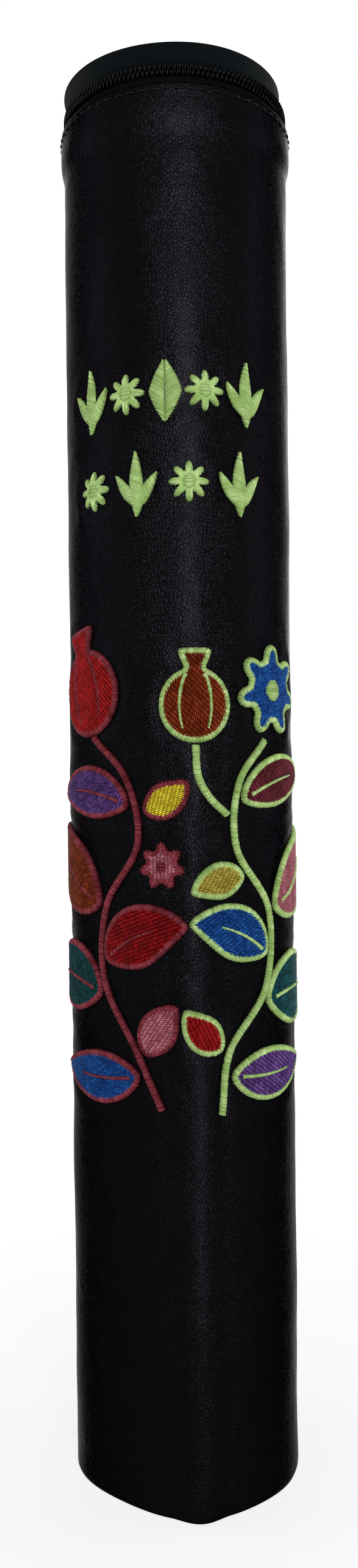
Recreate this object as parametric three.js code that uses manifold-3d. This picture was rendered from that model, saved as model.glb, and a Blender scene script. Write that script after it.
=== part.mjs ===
// A zipped leather tube case for a rolled scroll, standing upright on its flat base.
// Millimetres, +Z up. The origin is the centre of the underside of the base.
// The embroidered front faces -Y, the hinge of the lid is at the back (+Y).
// An azimuth is an angle in degrees about Z: 0 at the front, positive towards +X.

import * as THREE from 'three';
import { mergeVertices } from 'three/addons/utils/BufferGeometryUtils.js';
import Module from 'manifold-3d';

const wasm = await Module();
wasm.setup();

// Driving dimensions of the tube
const caseRadius = 30;
const hemTop = 359.3;
const leatherWall = 1.2;
const stiffenerWall = 1.5;
const liningWall = 0.6;
const clearance = 0.3;
const turnIn = 7.5;
const edgeRound = 2.2;
const edgeCornerShare = 0.3;
const seamSlit = 0.8;
const seamStripWidth = 12;
const seamStripWall = 0.9;

// The hem is a second layer of leather folded over the rim
const hemHeight = 9.6;
const hemThickness = 0.9;
const hemShoulder = 1;

// Lining, base and lid
const liningFlare = 2;
const liningBelowHem = 2;
const baseBoardThickness = 2;
const liningDiscThickness = 0.6;
const lidBoardThickness = 1;
const lidBoardGap = 0.45;
const lidLeatherThickness = 1;
const lidLeatherSetback = 1;
const lidLeatherBevel = 0.6;
const lidLap = 6;

// The front of the tube: one soft vertical ridge with a flattened face on each side of it, which
// fade out towards the rim
const ridgeHeight = 1.6;
const leftHollow = 2.8;
const rightHollow = 0.6;
const ridgeAzimuth = 6;
const ridgeReachAngle = 16;
const leftHollowAzimuth = -38;
const leftHollowReachAngle = 50;
const rightHollowAzimuth = 38;
const rightHollowReachAngle = 30;

// The zip
const tapeWall = 0.8;
const tapeBelowHem = 14.5;
const chainAboveHem = 3.6;
const chainHalfHeight = 1.8;
const coilThickness = 1.4;
const toothPitch = 1.27;
const toothReach = 0.9;
const tapeFromCentre = 1;
const rimAboveChain = 6.1;
const rimRound = 0.8;
const gussetWidth = 17.28;
const tapeEndGap = 0.37;
const lowerTapeDrop = 0.6;
const upperTapeLift = 0.7;
const tackWidth = 0.8;

// The slider and its pull tab
const sliderLength = 8.4;
const sliderToGusset = 1.3;
const sliderToChain = 1;
const sliderWall = 1;
const sliderHalfHeight = 2.6;
const sliderFlange = 0.5;
const sliderPostLength = 2.7;
const sliderPostHeight = 1.4;
const crownInside = 4.4;
const crownHeight = 2;
const crownWall = 0.8;
const crownWidth = 1.6;
const tabLength = 15;
const tabWidth = 4.4;
const tabThickness = 1;
const tabBar = 1.2;
const tabWindowEnd = 4;
const tabPivotHeight = 0.9;
const tabNose = 1.1;
const cutOverrun = 0.5;

// The embroidery
const threadHeight = 0.7;
const threadDome = 0.3;
const pictureBase = 103;
const pictureHeight = 119;
const stemWidth = 1.9;
const leafGap = 0.8;
const fruitGap = 0.6;
const upperRowMiddle = 282.6;
const lowerRowMiddle = 259.8;
const flowerWidth = 10.3;
const lozengeWidth = 8.5;
const ornamentHeight = 16;
const blossomPetals = 7;
const blossomPetalAngle = 31;
const blossomCoreShare = 0.7;
const flowerPetals = 8;
const flowerPetalAngle = 23;
const flowerCoreShare = 0.55;

// Roundness of the outlines of the embroidery
const leafTipPower = 0.85;
const leafSidePower = 0.75;
const petalPower = 0.6;
const lozengePower = 1.25;

// Steps of the faceted surfaces
const segments = 48;
const segmentDegrees = 360 / segments;
const stemSteps = 24;
const shortStemSteps = 6;
const leafSteps = 8;
const leafStepsAcross = 4;
const fruitSteps = 15;
const fruitStepsAcross = 6;
const sprigSteps = 6;
const sprigStepsAcross = 2;
const blossomSpokes = 42;
const flowerSpokes = 40;
const lozengeSpokes = 24;

// Sizes worked out from the values above; an offset is counted from the outside of the leather
const leatherInside = -leatherWall;
const stiffenerOutside = leatherInside - clearance;
const stiffenerInside = stiffenerOutside - stiffenerWall;
const liningOutside = stiffenerInside - clearance;
const liningInside = liningOutside - liningWall;
const tapeOutside = stiffenerOutside;
const tapeInside = tapeOutside - tapeWall;
const hemBottom = hemTop - hemHeight;
const chainMiddle = hemTop + chainAboveHem;
const tapeBottom = hemTop - tapeBelowHem;
const stiffenerTop = tapeBottom - clearance;
const rimTop = chainMiddle + rimAboveChain;
const boardBottom = leatherWall + clearance;
const boardTop = boardBottom + baseBoardThickness;
const baseLiningBottom = boardTop + clearance;
const degree = Math.PI / 180;

function arcDegrees(length) {
  return length / caseRadius / degree;
}

// Where the pieces at the back lie, from the hinge gusset outwards
const gussetAzimuth = 180 - arcDegrees(gussetWidth / 2);
const sliderAzimuth = gussetAzimuth - arcDegrees(sliderLength / 2 + sliderToGusset);
const chainEndAzimuth = sliderAzimuth - arcDegrees(sliderLength / 2 + sliderToChain);
const endGapAzimuth = arcDegrees(tapeEndGap);

function bump(azimuth, middle, reach) {
  const away = Math.abs(azimuth - middle) / reach;
  return away < 1 ? Math.cos(away * Math.PI / 2) ** 2 : 0;
}

function fold(azimuth, z) {
  const wrapped = ((azimuth + 540) % 360) - 180;
  const strength = 1 - THREE.MathUtils.clamp(z / hemTop, 0, 1);
  return strength * (ridgeHeight * bump(wrapped, ridgeAzimuth, ridgeReachAngle)
    - leftHollow * bump(wrapped, leftHollowAzimuth, leftHollowReachAngle)
    - rightHollow * bump(wrapped, rightHollowAzimuth, rightHollowReachAngle));
}

function onTube(azimuth, offset, z) {
  const radius = caseRadius + offset + fold(azimuth, z);
  return [radius * Math.sin(azimuth * degree), -radius * Math.cos(azimuth * degree), z];
}

// A closed body from points and faces, turned so that its faces point out
function solid(points, faces) {
  const geometry = new THREE.BufferGeometry();
  geometry.setAttribute('position', new THREE.Float32BufferAttribute(points.flat(), 3));
  const corners = faces.map((face) => face.map((index) => new THREE.Vector3(...points[index])));
  const volume = corners.reduce((sum, [a, b, c]) => sum + a.dot(b.cross(c)), 0);
  const turned = volume < 0 ? faces.map(([a, b, c]) => [a, c, b]) : faces;
  geometry.setIndex(turned.flat());
  geometry.computeVertexNormals();
  return geometry;
}

function quad(a, b, c, d) {
  return [[a, b, c], [a, c, d]];
}

// A strip between two stations of a wall, always split from its lower near corner to its
// upper far corner, so that nested walls twist alike
function strip(near, far, corner, next, rises) {
  return rises
    ? quad(near + corner, near + next, far + next, far + corner)
    : quad(near + next, far + next, far + corner, near + corner);
}

// Makes every face agree with its neighbours about which side is out
function orient(faces) {
  const edges = new Map();
  faces.forEach((face, index) => {
    face.forEach((from, side) => {
      const to = face[(side + 1) % 3];
      const key = from < to ? `${from}_${to}` : `${to}_${from}`;
      edges.set(key, [...(edges.get(key) ?? []), { index, from }]);
    });
  });
  const flipped = new Array(faces.length).fill(undefined);
  const queue = [0];
  flipped[0] = false;
  while (queue.length > 0) {
    const index = queue.pop();
    const face = faces[index];
    face.forEach((from, side) => {
      const to = face[(side + 1) % 3];
      const key = from < to ? `${from}_${to}` : `${to}_${from}`;
      const mine = edges.get(key).find((edge) => edge.index === index);
      const other = edges.get(key).find((edge) => edge.index !== index);
      if (other !== undefined && flipped[other.index] === undefined) {
        flipped[other.index] = (other.from === mine.from) !== flipped[index];
        queue.push(other.index);
      }
    });
  }
  return faces.map((face, index) => (flipped[index] ? [...face].reverse() : face));
}

// The azimuths of the stations from start to end: both ends and the common steps between them,
// so that nested walls have their edges at the same azimuths
function stations(start, end, step = segmentDegrees) {
  const first = Math.ceil((start + step / 4) / step);
  const last = Math.floor((end - step / 4) / step);
  const between = [];
  for (let index = first; index <= last; index += 1) between.push(index * step);
  return [start, ...between, end];
}

// A wall bent round the tube: profile(azimuth) gives the corners of its section as [offset, z]
function wallSegment(azimuths, profile) {
  const sections = azimuths.map((azimuth) => profile(azimuth));
  const size = sections[0].length;
  const points = sections.flatMap((section, ring) =>
    section.map(([offset, z]) => onTube(azimuths[ring], offset, z)));
  const faces = [];
  for (let ring = 0; ring < azimuths.length - 1; ring += 1) {
    for (let corner = 0; corner < size; corner += 1) {
      const next = (corner + 1) % size;
      const rises = sections[ring][next][1] >= sections[ring][corner][1];
      faces.push(...strip(ring * size, (ring + 1) * size, corner, next, rises));
    }
  }
  const last = (azimuths.length - 1) * size;
  const outline = sections[0].map(([offset, z]) => new THREE.Vector2(offset, z));
  const cap = THREE.ShapeUtils.triangulateShape(outline, []);
  for (const [a, b, c] of cap) {
    faces.push([a, b, c], [last + a, last + c, last + b]);
  }
  return solid(points, orient(faces));
}

// A full ring round the tube from one closed section of [offset, z] corners
function wallRing(profile) {
  const points = [];
  const faces = [];
  for (let ring = 0; ring < segments; ring += 1) {
    const azimuth = ring * segmentDegrees;
    points.push(...profile.map(([offset, z]) => onTube(azimuth, offset, z)));
    const here = ring * profile.length;
    const beyond = ((ring + 1) % segments) * profile.length;
    profile.forEach((_, corner) => {
      const next = (corner + 1) % profile.length;
      faces.push(...strip(here, beyond, corner, next, profile[next][1] >= profile[corner][1]));
    });
  }
  return solid(points, faces);
}

// A disc that fills the tube, from its edge corners [offset, z] listed from below to above
function disc(edge) {
  const points = [[0, 0, edge[0][1]], [0, 0, edge[edge.length - 1][1]]];
  const faces = [];
  const size = edge.length;
  for (let ring = 0; ring < segments; ring += 1) {
    points.push(...edge.map(([offset, z]) => onTube(ring * segmentDegrees, offset, z)));
    const here = 2 + ring * size;
    const beyond = 2 + ((ring + 1) % segments) * size;
    faces.push([0, beyond, here]);
    faces.push([1, here + size - 1, beyond + size - 1]);
    for (let corner = 0; corner < size - 1; corner += 1) {
      faces.push(...quad(here + corner, beyond + corner, beyond + corner + 1, here + corner + 1));
    }
  }
  return solid(points, faces);
}

function box(offsets, heights) {
  return [
    [offsets[0], heights[0]], [offsets[1], heights[0]],
    [offsets[1], heights[1]], [offsets[0], heights[1]],
  ];
}

const group = new THREE.Group();

function add(name, geometry, look) {
  const material = new THREE.MeshStandardMaterial({
    color: look.color, roughness: look.roughness, metalness: look.metalness ?? 0,
  });
  const mesh = new THREE.Mesh(geometry, material);
  mesh.name = name;
  group.add(mesh);
  return mesh;
}

const leather = { color: 0x0b0b0f, roughness: 0.5 };
const board = { color: 0x8a7a62, roughness: 0.9 };
const lining = { color: 0x14161c, roughness: 0.9 };
const tape = { color: 0x0a1012, roughness: 0.85 };
const nylon = { color: 0x4a4d52, roughness: 0.35 };
const metal = { color: 0x2b2d30, roughness: 0.3, metalness: 0.9 };
const threads = {
  lime: 0x9bc95f, mauve: 0x8e3f52, teal: 0x0e7f7a, deepTeal: 0x0a5a5c, red: 0xc81e22,
  deepRed: 0xa3121a, orange: 0xc05a1a, yellow: 0xd8c63b, olive: 0xb0a03a, blue: 0x1a4fa3,
  purple: 0x6c4a8c, pink: 0xb5748a, wine: 0x6e2038,
};

function thread(colour) {
  return { color: threads[colour], roughness: 0.55 };
}

// Leather sheet wrapped round, turned in under the base and folded over at the rim
function caseLeather() {
  const slit = arcDegrees(seamSlit / 2);
  const azimuths = stations(-180 + slit, 180 - slit);
  const wallLevelShares = [1 / 3, 2 / 3];
  const corner = edgeRound * edgeCornerShare;
  return wallSegment(azimuths, () => [
    [-turnIn, 0], [-edgeRound, 0], [-corner, corner], [0, edgeRound],
    ...wallLevelShares.map((share) => [0, share * hemBottom]),
    [0, hemBottom], [hemThickness, hemBottom + hemShoulder],
    [hemThickness, hemTop - hemShoulder], [hemThickness - corner, hemTop - corner / 2],
    [leatherInside / 2, hemTop], [leatherInside, hemTop - corner],
    [leatherInside, boardBottom - clearance], [-turnIn, boardBottom - clearance],
  ]);
}

function stiffener() {
  const slit = arcDegrees(seamSlit);
  return wallSegment(stations(-180 + slit, 180 - slit), () =>
    box([stiffenerInside, stiffenerOutside], [boardBottom, stiffenerTop]));
}

// Lining tube, drawn out towards the zip tape above the end of the stiffener
function liningTube() {
  const flareOutside = tapeInside - clearance;
  const flareInside = flareOutside - liningWall;
  const flareTop = stiffenerTop + liningFlare;
  const top = hemTop - liningBelowHem;
  return wallRing([
    [liningOutside, baseLiningBottom], [liningOutside, stiffenerTop],
    [flareOutside, flareTop], [flareOutside, top], [flareInside, top],
    [flareInside, flareTop], [liningInside, stiffenerTop], [liningInside, baseLiningBottom],
  ]);
}

function seamStrip() {
  const half = arcDegrees(seamStripWidth / 2);
  return wallSegment(stations(180 - half, 180 + half), () =>
    box([clearance, clearance + seamStripWall], [edgeRound, hemBottom - clearance]));
}

add('case_leather', caseLeather(), leather);
add('seam_strip', seamStrip(), leather);
add('stiffener', stiffener(), board);
add('lining', liningTube(), lining);
add('base_leather', disc([
  [-turnIn - clearance, 0], [-turnIn - clearance, leatherWall],
]), leather);
add('base_board', disc([
  [liningOutside, boardBottom], [liningOutside, boardTop],
]), board);
add('base_lining', disc([
  [liningInside - clearance, baseLiningBottom],
  [liningInside - clearance, baseLiningBottom + liningDiscThickness],
]), lining);

// The tapes: near the ends of the chain the two tapes stand apart round the slider
const tapeStations = [
  ...stations(-gussetAzimuth + endGapAzimuth, -chainEndAzimuth - endGapAzimuth),
  ...stations(-chainEndAzimuth, chainEndAzimuth),
  ...stations(chainEndAzimuth + endGapAzimuth, gussetAzimuth - endGapAzimuth),
];

function inChain(azimuth) {
  return Math.abs(azimuth) <= chainEndAzimuth;
}

const lowerTapeEnd = chainMiddle - tapeFromCentre;
const lowerTapeDropped = hemTop - lowerTapeDrop;
const upperTapeEnd = chainMiddle + tapeFromCentre;
const upperTapeRaised = chainMiddle + sliderHalfHeight + upperTapeLift;

add('lower_tape', wallSegment(tapeStations, (azimuth) => box(
  [tapeInside, tapeOutside],
  [tapeBottom, inChain(azimuth) ? lowerTapeEnd : lowerTapeDropped],
)), tape);

add('upper_tape', wallSegment(tapeStations, (azimuth) => {
  const low = inChain(azimuth) ? upperTapeEnd : upperTapeRaised;
  return [
    [tapeInside, low], [tapeOutside, low], [tapeOutside, rimTop - rimRound],
    [tapeOutside - rimRound * edgeCornerShare, rimTop - rimRound * edgeCornerShare],
    [tapeOutside - rimRound, rimTop],
    [tapeOutside - lidLap, rimTop], [tapeOutside - lidLap, rimTop - tapeWall],
    [tapeInside, rimTop - tapeWall],
  ];
}), tape);

// Nylon coils: a band sewn to each tape with zigzag teeth that mesh at the middle
function coil(side) {
  const chainArc = 2 * chainEndAzimuth * degree * caseRadius;
  const count = Math.round(chainArc / toothPitch);
  const step = 2 * chainEndAzimuth / count;
  const outside = tapeOutside + clearance + coilThickness;
  const inside = tapeOutside + clearance;
  const points = [];
  const faces = [];
  const middle = chainMiddle + side * clearance / 2;
  for (let index = 0; index <= 2 * count; index += 1) {
    const azimuth = -chainEndAzimuth + index * step / 2;
    const z = middle + (index % 2 === 0 ? -toothReach : toothReach) / 2;
    points.push(onTube(azimuth, inside, z), onTube(azimuth, outside, z));
  }
  const foot = points.length;
  for (let index = 0; index <= count; index += 1) {
    const azimuth = -chainEndAzimuth + index * step;
    const z = chainMiddle + side * chainHalfHeight;
    points.push(onTube(azimuth, inside, z), onTube(azimuth, outside, z));
  }
  for (let index = 0; index < count; index += 1) {
    const tooth = index * 4;
    const band = foot + index * 2;
    for (const wall of [0, 1]) {
      faces.push([tooth + wall, tooth + 2 + wall, band + wall]);
      faces.push([tooth + 2 + wall, band + 2 + wall, band + wall]);
      faces.push([tooth + 2 + wall, tooth + 4 + wall, band + 2 + wall]);
    }
    faces.push(...quad(tooth, tooth + 1, tooth + 3, tooth + 2));
    faces.push(...quad(tooth + 2, tooth + 3, tooth + 5, tooth + 4));
    faces.push(...quad(band, band + 1, band + 3, band + 2));
  }
  const lastTooth = count * 4;
  const lastBand = foot + count * 2;
  faces.push(...quad(0, 1, foot + 1, foot));
  faces.push(...quad(lastTooth, lastTooth + 1, lastBand + 1, lastBand));
  return solid(points, orient(faces));
}

add('lower_coil', coil(-1), nylon);
add('upper_coil', coil(1), nylon);

// Lid discs: leather above the turned-in tape, board and lining below it
const lidLeatherEdge = tapeInside - lidLeatherSetback;
const lidLeatherTop = rimTop + clearance + lidLeatherThickness;
add('lid_leather', disc([
  [lidLeatherEdge, rimTop + clearance], [lidLeatherEdge, lidLeatherTop - lidLeatherBevel],
  [lidLeatherEdge - lidLeatherBevel, lidLeatherTop],
]), leather);
const lidBoardTop = rimTop - tapeWall - clearance;
const lidBoardBottom = lidBoardTop - lidBoardThickness;
add('lid_board', disc([
  [tapeInside - lidBoardGap, lidBoardBottom], [tapeInside - lidBoardGap, lidBoardTop],
]), board);
const lidLiningTop = lidBoardBottom - clearance;
add('lid_lining', disc([
  [liningInside, lidLiningTop - liningDiscThickness], [liningInside, lidLiningTop],
]), lining);

// Flexible pieces at the back: the gusset that hinges the lid, and the sewn ends of the tapes
add('hinge_gusset', wallSegment(stations(gussetAzimuth, 360 - gussetAzimuth), () =>
  box([tapeInside, tapeOutside], [tapeBottom, lidBoardTop])), leather);

function toManifold(geometry) {
  const plain = geometry.clone();
  plain.deleteAttribute('normal');
  plain.deleteAttribute('uv');
  const merged = mergeVertices(plain);
  return new wasm.Manifold(new wasm.Mesh({
    numProp: 3,
    vertProperties: new Float32Array(merged.attributes.position.array),
    triVerts: new Uint32Array(merged.index.array),
  }));
}

function fromManifold(manifold) {
  const mesh = manifold.getMesh();
  const geometry = new THREE.BufferGeometry();
  geometry.setAttribute('position', new THREE.BufferAttribute(mesh.vertProperties, 3));
  geometry.setIndex(new THREE.BufferAttribute(mesh.triVerts, 1));
  geometry.computeVertexNormals();
  return geometry;
}

function zipTail(side) {
  const low = lowerTapeDropped + clearance;
  const high = upperTapeRaised - clearance;
  const ends = [
    side * (chainEndAzimuth + 2 * endGapAzimuth), side * (gussetAzimuth - endGapAzimuth),
  ];
  ends.sort((a, b) => a - b);
  const halfWindow = arcDegrees(sliderPostLength / 2 + 2 * clearance);
  const band = wallSegment(stations(...ends, segmentDegrees / 2), () =>
    box([tapeInside, tapeOutside], [low, high]));
  const window = wallSegment(
    stations(side * sliderAzimuth - halfWindow, side * sliderAzimuth + halfWindow),
    () => box(
      [tapeInside - cutOverrun, tapeOutside + cutOverrun],
      [chainMiddle - sliderPostHeight / 2 - clearance, chainMiddle + sliderPostHeight / 2 + clearance],
    ),
  );
  return fromManifold(toManifold(band).subtract(toManifold(window)));
}

add('zip_tail_right', zipTail(1), tape);
add('zip_tail_left', zipTail(-1), tape);

// Thread bars that tie the two tapes together at each end of the zip
function endTack(side) {
  const middle = side * (gussetAzimuth - arcDegrees(tackWidth / 2));
  const half = arcDegrees(tackWidth / 2);
  return wallSegment([middle - half, middle + half], () => box(
    [tapeOutside + clearance, tapeOutside + clearance + tapeWall],
    [hemTop + clearance, chainMiddle + sliderHalfHeight],
  ));
}

add('end_tack_right', endTack(1), tape);
add('end_tack_left', endTack(-1), tape);

// Slider: an outer and an inner plate round the chain, joined by a post between the tapes
const coilOutside = tapeOutside + clearance + coilThickness;
const plateInside = coilOutside + clearance;
const plateOutside = plateInside + sliderWall;
const innerPlateOutside = tapeInside - clearance;

function sliderBody() {
  const half = arcDegrees(sliderLength / 2);
  const along = stations(sliderAzimuth - half, sliderAzimuth + half, segmentDegrees / 2);
  const halfPost = arcDegrees(sliderPostLength / 2);
  const low = chainMiddle - sliderHalfHeight;
  const high = chainMiddle + sliderHalfHeight;
  const flangeEnd = tapeOutside + clearance;
  const outer = wallSegment(along, () => [
    [flangeEnd, low], [plateOutside - sliderFlange, low], [plateOutside, low + sliderFlange],
    [plateOutside, high - sliderFlange], [plateOutside - sliderFlange, high], [flangeEnd, high],
    [flangeEnd, high - sliderFlange], [plateInside, high - sliderFlange],
    [plateInside, low + sliderFlange], [flangeEnd, low + sliderFlange],
  ]);
  const inner = wallSegment(along, () =>
    box([innerPlateOutside - sliderWall, innerPlateOutside], [low, high]));
  const post = wallSegment(
    stations(sliderAzimuth - halfPost, sliderAzimuth + halfPost, segmentDegrees / 2),
    () => box(
      [innerPlateOutside - sliderWall / 2, plateInside + sliderWall / 2],
      [chainMiddle - sliderPostHeight / 2, chainMiddle + sliderPostHeight / 2],
    ),
  );
  return fromManifold(toManifold(outer).add(toManifold(inner)).add(toManifold(post)));
}

add('slider_body', sliderBody(), metal);

// Pieces on the slider's face are drawn flat: x along the zip, y outwards, extruded along z
function onSlider(geometry) {
  const outward = new THREE.Matrix4().makeBasis(
    new THREE.Vector3(-Math.cos(sliderAzimuth * degree), -Math.sin(sliderAzimuth * degree), 0),
    new THREE.Vector3(Math.sin(sliderAzimuth * degree), -Math.cos(sliderAzimuth * degree), 0),
    new THREE.Vector3(0, 0, 1),
  );
  geometry.applyMatrix4(outward);
  const foot = caseRadius + plateOutside + clearance;
  geometry.translate(foot * Math.sin(sliderAzimuth * degree),
    -foot * Math.cos(sliderAzimuth * degree), chainMiddle);
  return geometry;
}

function outlineOf(corners) {
  return new THREE.Shape(corners.map(([x, y]) => new THREE.Vector2(x, y)));
}

function extrudeAcross(shape, width) {
  const geometry = new THREE.ExtrudeGeometry(shape, { depth: width, bevelEnabled: false });
  geometry.translate(0, 0, -width / 2);
  return geometry;
}

function sliderCrown() {
  const inside = crownInside / 2;
  const outside = inside + crownWall;
  const top = crownHeight + crownWall;
  const shape = outlineOf([
    [-outside, 0], [-inside, 0], [-inside, crownHeight], [inside, crownHeight], [inside, 0],
    [outside, 0], [outside, crownHeight], [inside, top], [-inside, top], [-outside, crownHeight],
  ]);
  return onSlider(extrudeAcross(shape, crownWidth));
}

function pullTab() {
  const low = tabPivotHeight - tabThickness / 2;
  const high = tabPivotHeight + tabThickness / 2;
  const blank = extrudeAcross(outlineOf([
    [-tabBar / 2, low], [tabLength - tabNose, low], [tabLength, tabPivotHeight],
    [tabLength - tabNose, high], [-tabBar / 2, high],
  ]), tabWidth);
  const window = extrudeAcross(outlineOf([
    [tabBar / 2, low - cutOverrun], [tabWindowEnd, low - cutOverrun],
    [tabWindowEnd, high + cutOverrun], [tabBar / 2, high + cutOverrun],
  ]), crownWidth + 2 * clearance);
  return onSlider(fromManifold(toManifold(blank).subtract(toManifold(window))));
}

add('slider_crown', sliderCrown(), metal);
add('pull_tab', pullTab(), metal);

// Embroidery: raised patches of thread that follow the tube
// A point on the front is [arc to the right of the front line, height above the base]
function onCloth([arc, z], height) {
  return onTube(arcDegrees(arc), clearance + height, z);
}

// A patch along a spine: spine(t) gives a point, breadth(t) the half width on each side of it
function patch(spine, breadth, along, across) {
  const points = [];
  for (const raised of [true, false]) {
    for (let row = 0; row <= along; row += 1) {
      const t = row / along;
      const before = spine(Math.max(0, t - 1 / along / 4));
      const after = spine(Math.min(1, t + 1 / along / 4));
      const length = Math.hypot(after[0] - before[0], after[1] - before[1]);
      const normal = [-(after[1] - before[1]) / length, (after[0] - before[0]) / length];
      const middle = spine(t);
      for (let column = 0; column <= across; column += 1) {
        const share = 2 * column / across - 1;
        const reach = share * breadth(t);
        const dome = threadDome * (1 - share * share) * Math.sin(Math.PI * (t + 1) / 3);
        const height = raised ? threadHeight + dome : 0;
        points.push(onCloth(
          [middle[0] + normal[0] * reach, middle[1] + normal[1] * reach], height,
        ));
      }
    }
  }
  const width = across + 1;
  const lower = (along + 1) * width;
  const faces = [];
  for (let row = 0; row < along; row += 1) {
    for (let column = 0; column < across; column += 1) {
      const a = row * width + column;
      faces.push(...quad(a, a + 1, a + width + 1, a + width));
      faces.push(...quad(lower + a, lower + a + width, lower + a + width + 1, lower + a + 1));
    }
  }
  const rim = [];
  for (let column = 0; column < across; column += 1) rim.push(column);
  for (let row = 0; row < along; row += 1) rim.push(row * width + across);
  for (let column = across; column > 0; column -= 1) rim.push(along * width + column);
  for (let row = along; row > 0; row -= 1) rim.push(row * width);
  rim.forEach((here, index) => {
    const next = rim[(index + 1) % rim.length];
    faces.push(...quad(here, lower + here, lower + next, next));
  });
  return solid(points, orient(faces));
}

// A patch round a centre, with its edge given as a share of its half width and half height
function rosette(centre, halfWidth, halfHeight, edgeShare, spokes, rings) {
  const points = [];
  for (const raised of [true, false]) {
    points.push(onCloth(centre, raised ? threadHeight + threadDome : 0));
    for (let ring = 1; ring <= rings; ring += 1) {
      const share = ring / rings;
      for (let spoke = 0; spoke < spokes; spoke += 1) {
        const angle = 2 * Math.PI * spoke / spokes;
        const reach = share * edgeShare(angle);
        const height = raised ? threadHeight + threadDome * (1 - share * share) : 0;
        points.push(onCloth([
          centre[0] + halfWidth * reach * Math.sin(angle),
          centre[1] + halfHeight * reach * Math.cos(angle),
        ], height));
      }
    }
  }
  const lower = 1 + rings * spokes;
  const faces = [];
  for (let spoke = 0; spoke < spokes; spoke += 1) {
    const next = (spoke + 1) % spokes;
    faces.push([0, 1 + spoke, 1 + next], [lower, lower + 1 + next, lower + 1 + spoke]);
    for (let ring = 0; ring < rings - 1; ring += 1) {
      const here = 1 + ring * spokes;
      faces.push(...quad(here + spoke, here + spokes + spoke, here + spokes + next, here + next));
      faces.push(...quad(lower + here + next, lower + here + spokes + next,
        lower + here + spokes + spoke, lower + here + spoke));
    }
    const edge = 1 + (rings - 1) * spokes;
    faces.push(...quad(edge + spoke, lower + edge + spoke, lower + edge + next, edge + next));
  }
  return solid(points, orient(faces));
}

// Stems as shares of the height of the embroidered picture, from its bottom edge upwards
const stemShares = {
  left: [[-0.05, 0], [-0.11, 0.12], [-0.2, 0.27], [-0.19, 0.42], [-0.1, 0.56], [-0.13, 0.7],
    [-0.22, 0.785]],
  right: [[0.08, -0.01], [0.1, 0.12], [0.2, 0.25], [0.21, 0.41], [0.12, 0.55], [0.13, 0.69],
    [0.2, 0.775]],
  middle: [[0.098, 0.62], [0.06, 0.655], [0.035, 0.7], [0.03, 0.765]],
};

function spineOf(shares) {
  const curve = new THREE.CatmullRomCurve3(
    shares.map(([x, y]) => new THREE.Vector3(x * pictureHeight, pictureBase + y * pictureHeight, 0)),
  );
  return (t) => {
    const point = curve.getPoint(t);
    return [point.x, point.y];
  };
}

const stems = {
  left: spineOf(stemShares.left),
  right: spineOf(stemShares.right),
  middle: spineOf(stemShares.middle),
};
add('stem_left', patch(stems.left, () => stemWidth / 2, stemSteps, 1), thread('mauve'));
add('stem_right', patch(stems.right, () => stemWidth / 2, stemSteps, 1), thread('lime'));
add('stem_middle', patch(stems.middle, () => stemWidth / 2, shortStemSteps, 1), thread('lime'));

// Leaves grow from a stem at a share of its length: side 1 is to its left going up
const aheadShare = 0.01;
const leaves = [
  { name: 'leaf_blue_low', stem: 'left', atShare: 0.1, side: 1, lengthShare: 0.26,
    widthShare: 0.115, turn: 64, bendShare: 0.05, colour: 'blue' },
  { name: 'leaf_teal_left', stem: 'left', atShare: 0.3, side: 1, lengthShare: 0.26,
    widthShare: 0.155, turn: 60, bendShare: -0.07, colour: 'deepTeal' },
  { name: 'leaf_orange_left', stem: 'left', atShare: 0.5, side: 1, lengthShare: 0.26,
    widthShare: 0.15, turn: 70, bendShare: 0.09, colour: 'orange' },
  { name: 'leaf_purple_left', stem: 'left', atShare: 0.76, side: 1, lengthShare: 0.25,
    widthShare: 0.115, turn: 68, bendShare: -0.08, colour: 'purple' },
  { name: 'leaf_pink_low', stem: 'left', atShare: 0.14, side: -1, lengthShare: 0.13,
    widthShare: 0.09, turn: 62, bendShare: 0.05, colour: 'pink' },
  { name: 'leaf_wine_left', stem: 'left', atShare: 0.37, side: -1, lengthShare: 0.215,
    widthShare: 0.135, turn: 72, bendShare: 0.1, colour: 'deepRed' },
  { name: 'leaf_yellow_left', stem: 'left', atShare: 0.74, side: -1, lengthShare: 0.118,
    widthShare: 0.08, turn: 70, bendShare: -0.08, colour: 'yellow' },
  { name: 'leaf_purple_low', stem: 'right', atShare: 0.1, side: -1, lengthShare: 0.24,
    widthShare: 0.115, turn: 80, bendShare: -0.05, colour: 'purple' },
  { name: 'leaf_teal_right', stem: 'right', atShare: 0.3, side: -1, lengthShare: 0.26,
    widthShare: 0.165, turn: 56, bendShare: 0.07, colour: 'teal' },
  { name: 'leaf_pink_right', stem: 'right', atShare: 0.5, side: -1, lengthShare: 0.27,
    widthShare: 0.155, turn: 68, bendShare: -0.09, colour: 'pink' },
  { name: 'leaf_wine_right', stem: 'right', atShare: 0.78, side: -1, lengthShare: 0.25,
    widthShare: 0.11, turn: 66, bendShare: 0.08, colour: 'wine' },
  { name: 'leaf_red_low', stem: 'right', atShare: 0.16, side: 1, lengthShare: 0.12,
    widthShare: 0.08, turn: 66, bendShare: 0.05, colour: 'red' },
  { name: 'leaf_blue_right', stem: 'right', atShare: 0.4, side: 1, lengthShare: 0.2,
    widthShare: 0.12, turn: 74, bendShare: -0.1, colour: 'blue' },
  { name: 'leaf_olive_right', stem: 'right', atShare: 0.6, side: 1, lengthShare: 0.125,
    widthShare: 0.08, turn: 66, bendShare: -0.08, colour: 'olive' },
];

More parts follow.
